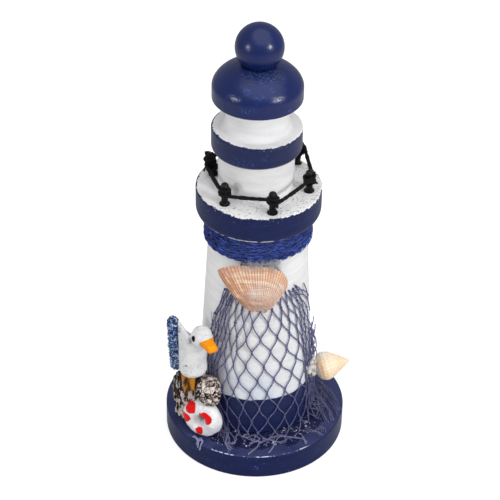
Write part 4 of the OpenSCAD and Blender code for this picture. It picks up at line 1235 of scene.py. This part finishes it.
class LIGHTHOUSE_OT_whelk(bpy.types.Operator):
    """Model the coiled shell"""

    bl_idname = "lighthouse.whelk"
    bl_label = "Coiled shell"

    def execute(self, context):
        shells = context.scene.lighthouse_shells
        rings, sides = 150, 170
        turn = Matrix.Rotation(radians(WHELK_TURN), 3, "Z") @ Matrix.Rotation(radians(WHELK_LEAN), 3, "Y")
        points, seams, alongs, ribs = [], [], [], []
        # t runs from the blunt end to the tip, and a round the shell
        for i in range(rings + 1):
            t = i / rings
            line = float(np.interp(t, *zip(*WHELK_OUTLINE)))
            for j in range(sides):
                a = 2 * pi * j / sides
                groove = cos(pi * WHELK_WHORLS * t**1.3 - a / 2) ** 12
                # Fine ribs along each whorl, slanted, as growth leaves them
                rib = cos(WHELK_RIBS * a + 14 * t + 1.5 * sin(9 * t))
                r = WHELK_R * line * (1 - 0.02 * ease(t * 4) * groove + 0.017 * rib * (1 - 0.7 * t))
                r *= 1 + 0.02 * ripple(6 * t, 2 * cos(a), 2 * sin(a))
                points.append(turn @ Vector((WHELK_L * t, r * cos(a), r * sin(a))) + Vector(WHELK_AT))
                seams.append(groove)
                alongs.append(t)
                ribs.append(0.5 + 0.5 * rib)
        faces = grid_faces(rings + 1, sides, wrap=True)
        faces += [tuple(range(sides - 1, -1, -1)), tuple(rings * sides + j for j in range(sides))]
        made = skin("whelk_coiled", points, faces, self.lime(shells), "whelk_lime", "whelk_shell")
        store(made, seam=seams, along=alongs, rib=ribs)
        return {"FINISHED"}

    def lime(self, shells):
        # Shell lime: warm cream with peach blush and fine darker growth lines, chalky at its worn end
        f = Finish("whelk_shell_lime", 0.45, 0.4, Subsurface_Weight=0.08)
        seam, along, rib = shell_attributes(f, "seam", "along", "rib")
        top = f.dab((33.5, -2.0, 45.0), 4.0, 2.5, 3.0, 3.0)
        colour = f.coats(
            shells.whelk,
            (f.patches(6, 0.4, 0.65), "#F8D8B0"),
            (f.put(RANGE, (rib, 0.45, 0.0, 0.0, 0.25)), "#DDB184"),
            (f.all(seam, 0.08), "#D9B088"),
            (f.dab((31.4, -7.7, 39.8), 2.6, 1.8, 1.5), "#EFB88E"),
            (f.put(RANGE, (along, 0.7, 0.95, 0.0, 0.6)), "#EFE2D2"),
            (f.all(top, f.patches(2.5)), "#EFE6DE"),
            (f.put(RANGE, (along, 0.04, 0.2, 0.9, 0.0)), "#E4DCD4"),
        )
        return f.done(colour, (0.7, 0.05))


# Rocks, ring and gull


# Middle of each red patch on the ring and its reach
RED_PATCHES = (
    ((-31.7, -28.4, 30.4), 3.4),
    ((-34.1, -27.2, 23.4), 2.8),
    ((-24.2, -33.0, 26.9), 3.6),
    ((-27.2, -31.9, 17.9), 2.3),
    ((-30.4, -22.6, 29.4), 3.2),
    ((-22.6, -24.4, 21.5), 3.4),
)


def bark(p):
    return -0.25 + 1.6 * ripple(p.x * 0.8, p.y * 0.8, p.z * 0.13) + 0.4 * noise.noise(p * 0.9)


def veined(p):
    line = abs(noise.noise(p * 0.42) + 0.3 * noise.noise(p * 0.9))
    return -0.2 + 0.5 * min(line, 0.3) / 0.3 + 0.2 * noise.noise(p * 1.3)


def uneven(p):
    return 0.45 * noise.noise(p * 0.22) + 0.14 * noise.noise(p * 0.8) - 0.05


def bark_resin():
    # Cast resin, painted dark brown in the cracks and dry brushed with off-white on the ridges
    f = Finish("bark_cast_resin", 0.45, 0.15)
    ridges = f.all(f.patches(1.8, 0.49, 0.54, (1, 1, 3.6), 5.0), f.height(46, 36))
    colour = f.coats("#150C08", (f.patches(2.6), "#463024"), (f.patches(1.5, 0.63, 0.68), "#B9ABA4"),
                     (ridges, "#DFD3CE"))
    return f.done(colour, (2.0, 0.9, (1, 1, 3.6)), (0.7, 0.15))


def veined_resin():
    # The right lump: pinkish white stone with dark brown joints, as if brushed with a wash
    f = Finish("veined_cast_resin", 0.5, 0.2)
    joints = f.any(f.veins(5.2, 0.04), f.veins(3.8, 0.026))
    colour = f.coats("#75625A", (f.patches(2.2, 0.42, 0.54), "#E4D8D2"), (joints, "#24160F"))
    flat = f.put(MATH, (1.0, joints), operation="SUBTRACT")
    return f.done(colour, (flat, 0.35), (0.9, 0.12))


def ring_enamel(paint):
    # Craft enamel on resin: glossy white with red patches dabbed on by brush
    f = Finish("ring_craft_enamel", 0.25, 0.16)
    red = f.dabs(*[(spot, reach, 0.2, 1.8, 3.0) for spot, reach in RED_PATCHES])
    tone = f.coats(paint.red, (f.patches(3, 0.55, 0.75), "#BE060C"))
    colour = f.coats("#DADBE0", (f.patches(6), "#F2F2F3"), (red, tone))
    return f.done(colour, (3.5, 0.14), (red, 0.1), (0.8, 0.03))


class LIGHTHOUSE_OT_rocks(bpy.types.Operator):
    """Cast the rocks and the life ring"""

    bl_idname = "lighthouse.rocks"
    bl_label = "Rocks and ring"

    def execute(self, context):
        paint = context.scene.lighthouse_paint
        # Node, relief, finish and slot
        for node, lift, material, slot in (
            ("rock_core", bark, bark_resin(), "dark_resin"),
            ("rock_left", bark, bark_resin(), "dark_resin"),
            ("rock_right", veined, veined_resin(), "veined_resin"),
            ("life_ring", uneven, ring_enamel(paint), "white_resin"),
        ):
            cast(node + "_cast", from_node(node), lift, slot, (node,), material)
        return {"FINISHED"}


# Place of the gull, its turn in degrees and the height of its perch
GULL_AT = (-29.8, -25.6)
GULL_TURN = -62
PERCH_Z = 47.5


def soft(p):
    return 0.22 * noise.noise(p * 0.35) + 0.06 * noise.noise(p * 1.2)


def quills(p):
    return 0.25 + 0.22 * ripple(p.x * 0.3, p.y * 0.3, p.z * 0.6)


def nubs(p):
    return -0.15 + 0.75 * noise.noise(p * 0.95) + 0.3 * noise.noise(p * 2.1)


def wedge(p):
    """Pares the beak's end to a slanting plane and thickens its root."""
    turned = Matrix.Rotation(radians(-GULL_TURN), 3, "Z") @ (p - Vector((*GULL_AT, PERCH_Z)))
    over = p @ Vector((0.754, 0.424, 0.502)) - 9.0
    free = ease((turned.x - 9.0) / 1.2)
    return 0.22 * (1 - free) - min(max(over, 0), 1.5) * free


def plumage():
    # Matt white craft paint on resin: grey in its hollows, with stray specks near the wing's edge
    f = Finish("matt_white_craft_paint", 0.5, 0.35)
    edge = f.dab((-38.5, -24.0, 66.0), 6.0, 3.0, squash=(1, 1, 0.35))
    specks = f.all(f.patches(0.9, 0.6, 0.67), f.any(f.height(66, 54), edge), 0.8)
    marks = f.dabs(
        ((-33.3, -30.4, 58.1), 0.45, 0.15, 0.4, 0.8),
        ((-37.3, -23.9, 74.2), 0.9, 0.15, 0.6, 0.8, (0.6, 0.6, 2.4)),
    )
    # The eyes lie on the head's ball, 78 degrees to each side and 12 degrees up
    eyes = []
    for side in (-1, 1):
        a, up = radians(side * 78), radians(12)
        spot = Vector((4.6 + 5.3 * cos(up) * cos(a), 2.1 + 5.3 * cos(up) * sin(a), 27.4 + 5.3 * sin(up)))
        spot = Matrix.Rotation(radians(GULL_TURN), 3, "Z") @ spot + Vector((*GULL_AT, PERCH_Z))
        eyes.append((spot, 1.25, 0.12, 0.5, 1.2, (1, 1, 0.75)))
    colour = f.coats("#D2D2D4", (f.patches(7, 0.3, 0.6), "#E6E6E7"), (specks, "#4A464A"), (marks, "#19171A"),
                     (f.dabs(*eyes), "#0E0D10"))
    return f.done(colour, (2.2, 0.22), (0.8, 0.05))


def beak_enamel(paint):
    # Craft enamel: orange, glossy, yellow where it is thin
    f = Finish("orange_craft_enamel", 0.34, 0.15)
    thin = f.all(f.patches(2.2, 0.5, 0.7, detail=3.0), 0.7)
    # The head's white is painted over the beak's root, along a slanting line
    slant = f.put(VECTOR, (f.place, (-0.422, 0.555, 0.717)), "Value", operation="DOT_PRODUCT")
    slant = f.put(MATH, (f.patches(2, 0.2, 0.8), 0.4 * MM, slant), operation="MULTIPLY_ADD")
    root = f.put(RANGE, (slant, 46.4 * MM, 46.5 * MM))
    return f.done(f.coats(paint.beak, (thin, "#F9B416"), (root, "#E4E4E5")), (1.4, 0.2))


def stippled_enamel():
    # Enamel stippled on with a stiff brush: dark blue hollows under royal and pale blue nubs
    f = Finish("stippled_craft_enamel", 0.5, 0.35)
    middle = f.patches(1.6, 0.45, 0.52, detail=3.0)
    pale = f.any(f.veins(2.8, 0.042), f.patches(1.3, 0.61, 0.65, (1, 1, 1.7), 2.0))
    return f.done(f.coats("#0C1744", (middle, "#3A62AC"), (pale, "#C8D9F0")), (middle, 0.5), (pale, 0.4))


def leg_enamel():
    # Ochre enamel wiped over brown
    f = Finish("ochre_craft_enamel", 0.3, 0.25)
    ochre = f.patches(2.0, 0.4, 0.54, (1, 1, 2.5))
    return f.done(f.coats("#3A230D", (ochre, "#B5761A")), (ochre, 0.4))


class LIGHTHOUSE_OT_gull(bpy.types.Operator):
    """Cast and paint the gull"""

    bl_idname = "lighthouse.gull"
    bl_label = "Gull"

    def execute(self, context):
        paint = context.scene.lighthouse_paint
        white = plumage()
        # Nodes, grain and passes of the casting, relief, finish and slot
        for nodes, grain, passes, lift, material, slot in (
            (("gull_body", "gull_wing_right"), 0.32, 12, soft, white, "white_resin"),
            (("gull_wing_left",), 0.32, 8, quills, white, "white_resin"),
            (("gull_beak",), 0.26, 9, wedge, beak_enamel(paint), "orange_resin"),
            (("gull_feathers",), 0.28, 3, nubs, stippled_enamel(), "blue_resin"),
            (("gull_legs",), 0.32, 4, None, leg_enamel(), "brown_resin"),
        ):
            cast(nodes[0] + "_cast", from_node(*nodes), lift, slot, nodes, material, grain=grain,
                 passes=passes)
        # Black enamel: a smooth dot with a wet glint
        f = Finish("black_enamel", 0.26, 0.1)
        coat_node("gull_eyes", f.done(f.coats("#020203", (f.patches(1), "#0B0B0D")), (0.6, 0.03)))
        return {"FINISHED"}


# Stage


# Lamps: name, place in metres, width of the disc in metres, watts
LAMPS = (
    ("lamp_left", (-0.66, -0.42, 0.40), 0.11, 1.6),
    ("lamp_right", (0.60, -0.46, 0.46), 0.13, 2.9),
    ("lamp_top", (0.15, -0.25, 1.2), 1.8, 9.0),
)
LAMP_AIM = Vector((0, 0, 0.11))
# Light of the surroundings on the object, where the camera sees them at 1, and the floor's own glow
ROOM_LIGHT = 0.42
FLOOR_GLOW = 0.62
# The photograph's view: its focal length and the shift of its middle in pixels of a 500 pixel square picture,
# the point it looks at and its distance in metres, and its tilt in degrees and roll in radians. The sensor's
# width is in millimetres.
PICTURE = 500
SENSOR = 36
FOCAL = 1690.1
SHIFT = (-7.65, 0.76)
CAMERA_AIM = Vector((0, 0, 0.10525))
CAMERA_FAR = 0.81
CAMERA_TILT = 35.44
CAMERA_ROLL = 0.02


class LIGHTHOUSE_OT_stage(bpy.types.Operator):
    """Set the camera, the lamps and the pale floor"""

    bl_idname = "lighthouse.stage"
    bl_label = "Stage"

    def execute(self, context):
        scene = context.scene
        scene.view_settings.view_transform = "Standard"
        scene.camera = self.camera()
        self.floor()
        for name, place, size, power in LAMPS:
            data = bpy.data.lights.new(name, "AREA")
            data.shape = "DISK"
            data.size = size
            data.energy = power
            lamp = link(name, data)
            lamp.location = place
            lamp.rotation_euler = (LAMP_AIM - Vector(place)).to_track_quat("-Z", "Y").to_euler()
        scene.world = bpy.data.worlds.new("studio")
        scene.world.use_nodes = True
        tree = scene.world.node_tree
        strength = put(tree, MIX, {0: self.seen(tree), 2: ROOM_LIGHT, 3: 1.0}, data_type="FLOAT")
        background = tree.nodes["Background"].inputs
        tree.links.new(strength, background["Strength"])
        background["Color"].default_value = (1, 1, 1, 1)
        return {"FINISHED"}

    def seen(self, tree):
        """1 for a ray from the camera, also through glass."""
        rays = put(tree, "ShaderNodeLightPath").node.outputs
        return put(tree, MATH, (rays["Is Camera Ray"], rays["Is Transmission Ray"]), operation="MAXIMUM")

    def camera(self):
        tilt = radians(CAMERA_TILT)
        ahead = Vector((0, cos(tilt), -sin(tilt)))
        right = Vector((1, 0, 0))
        up = right.cross(ahead)
        side = right * cos(CAMERA_ROLL) + up * sin(CAMERA_ROLL)
        top = up * cos(CAMERA_ROLL) - right * sin(CAMERA_ROLL)
        data = bpy.data.cameras.new("camera")
        data.sensor_width = SENSOR
        data.lens = FOCAL / PICTURE * SENSOR
        data.shift_x, data.shift_y = SHIFT[0] / PICTURE, SHIFT[1] / PICTURE
        data.clip_start, data.clip_end = 0.05, 20
        camera = link("camera", data)
        spot = CAMERA_AIM - ahead * CAMERA_FAR
        camera.matrix_world = Matrix.Translation(spot) @ Matrix((side, top, -ahead)).transposed().to_4x4()
        return camera

    def floor(self):
        """Pale paper. It is lit a little for the camera alone, so that it is white around the shadow."""
        data = bpy.data.meshes.new("floor")
        data.from_pydata([(-6, -6, 0), (6, -6, 0), (6, 6, 0), (-6, 6, 0)], [], [(0, 1, 2, 3)])
        floor = link("floor", data)
        floor.location.z = -0.0002
        f = Finish("pale_paper", 0.9, 0.1)
        f.feed(Base_Color=f.coats("#CFCFCF", (f.patches(300), "#D2D2D2")))
        glow = {"Color": (1, 1, 1, 1), "Strength": f.all(self.seen(f.tree), FLOOR_GLOW)}
        glow = f.put("ShaderNodeEmission", glow)
        both = f.put("ShaderNodeAddShader", (f.tree.nodes["Principled BSDF"].outputs[0], glow))
        f.tree.links.new(both, f.tree.nodes["Material Output"].inputs["Surface"])
        data.materials.append(f.material)


class LIGHTHOUSE_PT_panel(bpy.types.Panel):
    """Lists the ornament's settings and the operators of its pieces"""

    bl_label = "Lighthouse ornament"
    bl_idname = "LIGHTHOUSE_PT_panel"
    bl_space_type = "VIEW_3D"
    bl_region_type = "UI"
    bl_category = "Lighthouse"

    def draw(self, context):
        layout = self.layout
        for name in GROUPS:
            group = getattr(context.scene, name)
            box = layout.box()
            for setting in group.bl_rna.properties.keys():
                if setting not in ("rna_type", "name"):
                    box.prop(group, setting)
        for operator in STEPS:
            layout.operator(operator.bl_idname)


STEPS = (
    LIGHTHOUSE_OT_stage,
    LIGHTHOUSE_OT_wood,
    LIGHTHOUSE_OT_fastenings,
    LIGHTHOUSE_OT_rope,
    LIGHTHOUSE_OT_railing,
    LIGHTHOUSE_OT_net,
    LIGHTHOUSE_OT_glue,
    LIGHTHOUSE_OT_fan_shell,
    LIGHTHOUSE_OT_whelk,
    LIGHTHOUSE_OT_rocks,
    LIGHTHOUSE_OT_gull,
)
GROUPS = {
    "lighthouse_paint": LighthousePaint,
    "lighthouse_cords": LighthouseCords,
    "lighthouse_shells": LighthouseShells,
}


def register():
    for made in (*GROUPS.values(), *STEPS, LIGHTHOUSE_PT_panel):
        bpy.utils.register_class(made)
    for name, group in GROUPS.items():
        setattr(bpy.types.Scene, name, bpy.props.PointerProperty(type=group))


def unregister():
    for name in GROUPS:
        delattr(bpy.types.Scene, name)
    for made in (LIGHTHOUSE_PT_panel, *STEPS, *GROUPS.values()):
        bpy.utils.unregister_class(made)


def main():
    register()
    for operator in STEPS:
        group, action = operator.bl_idname.split(".")
        getattr(getattr(bpy.ops, group), action)()


if __name__ == "__main__":
    main()
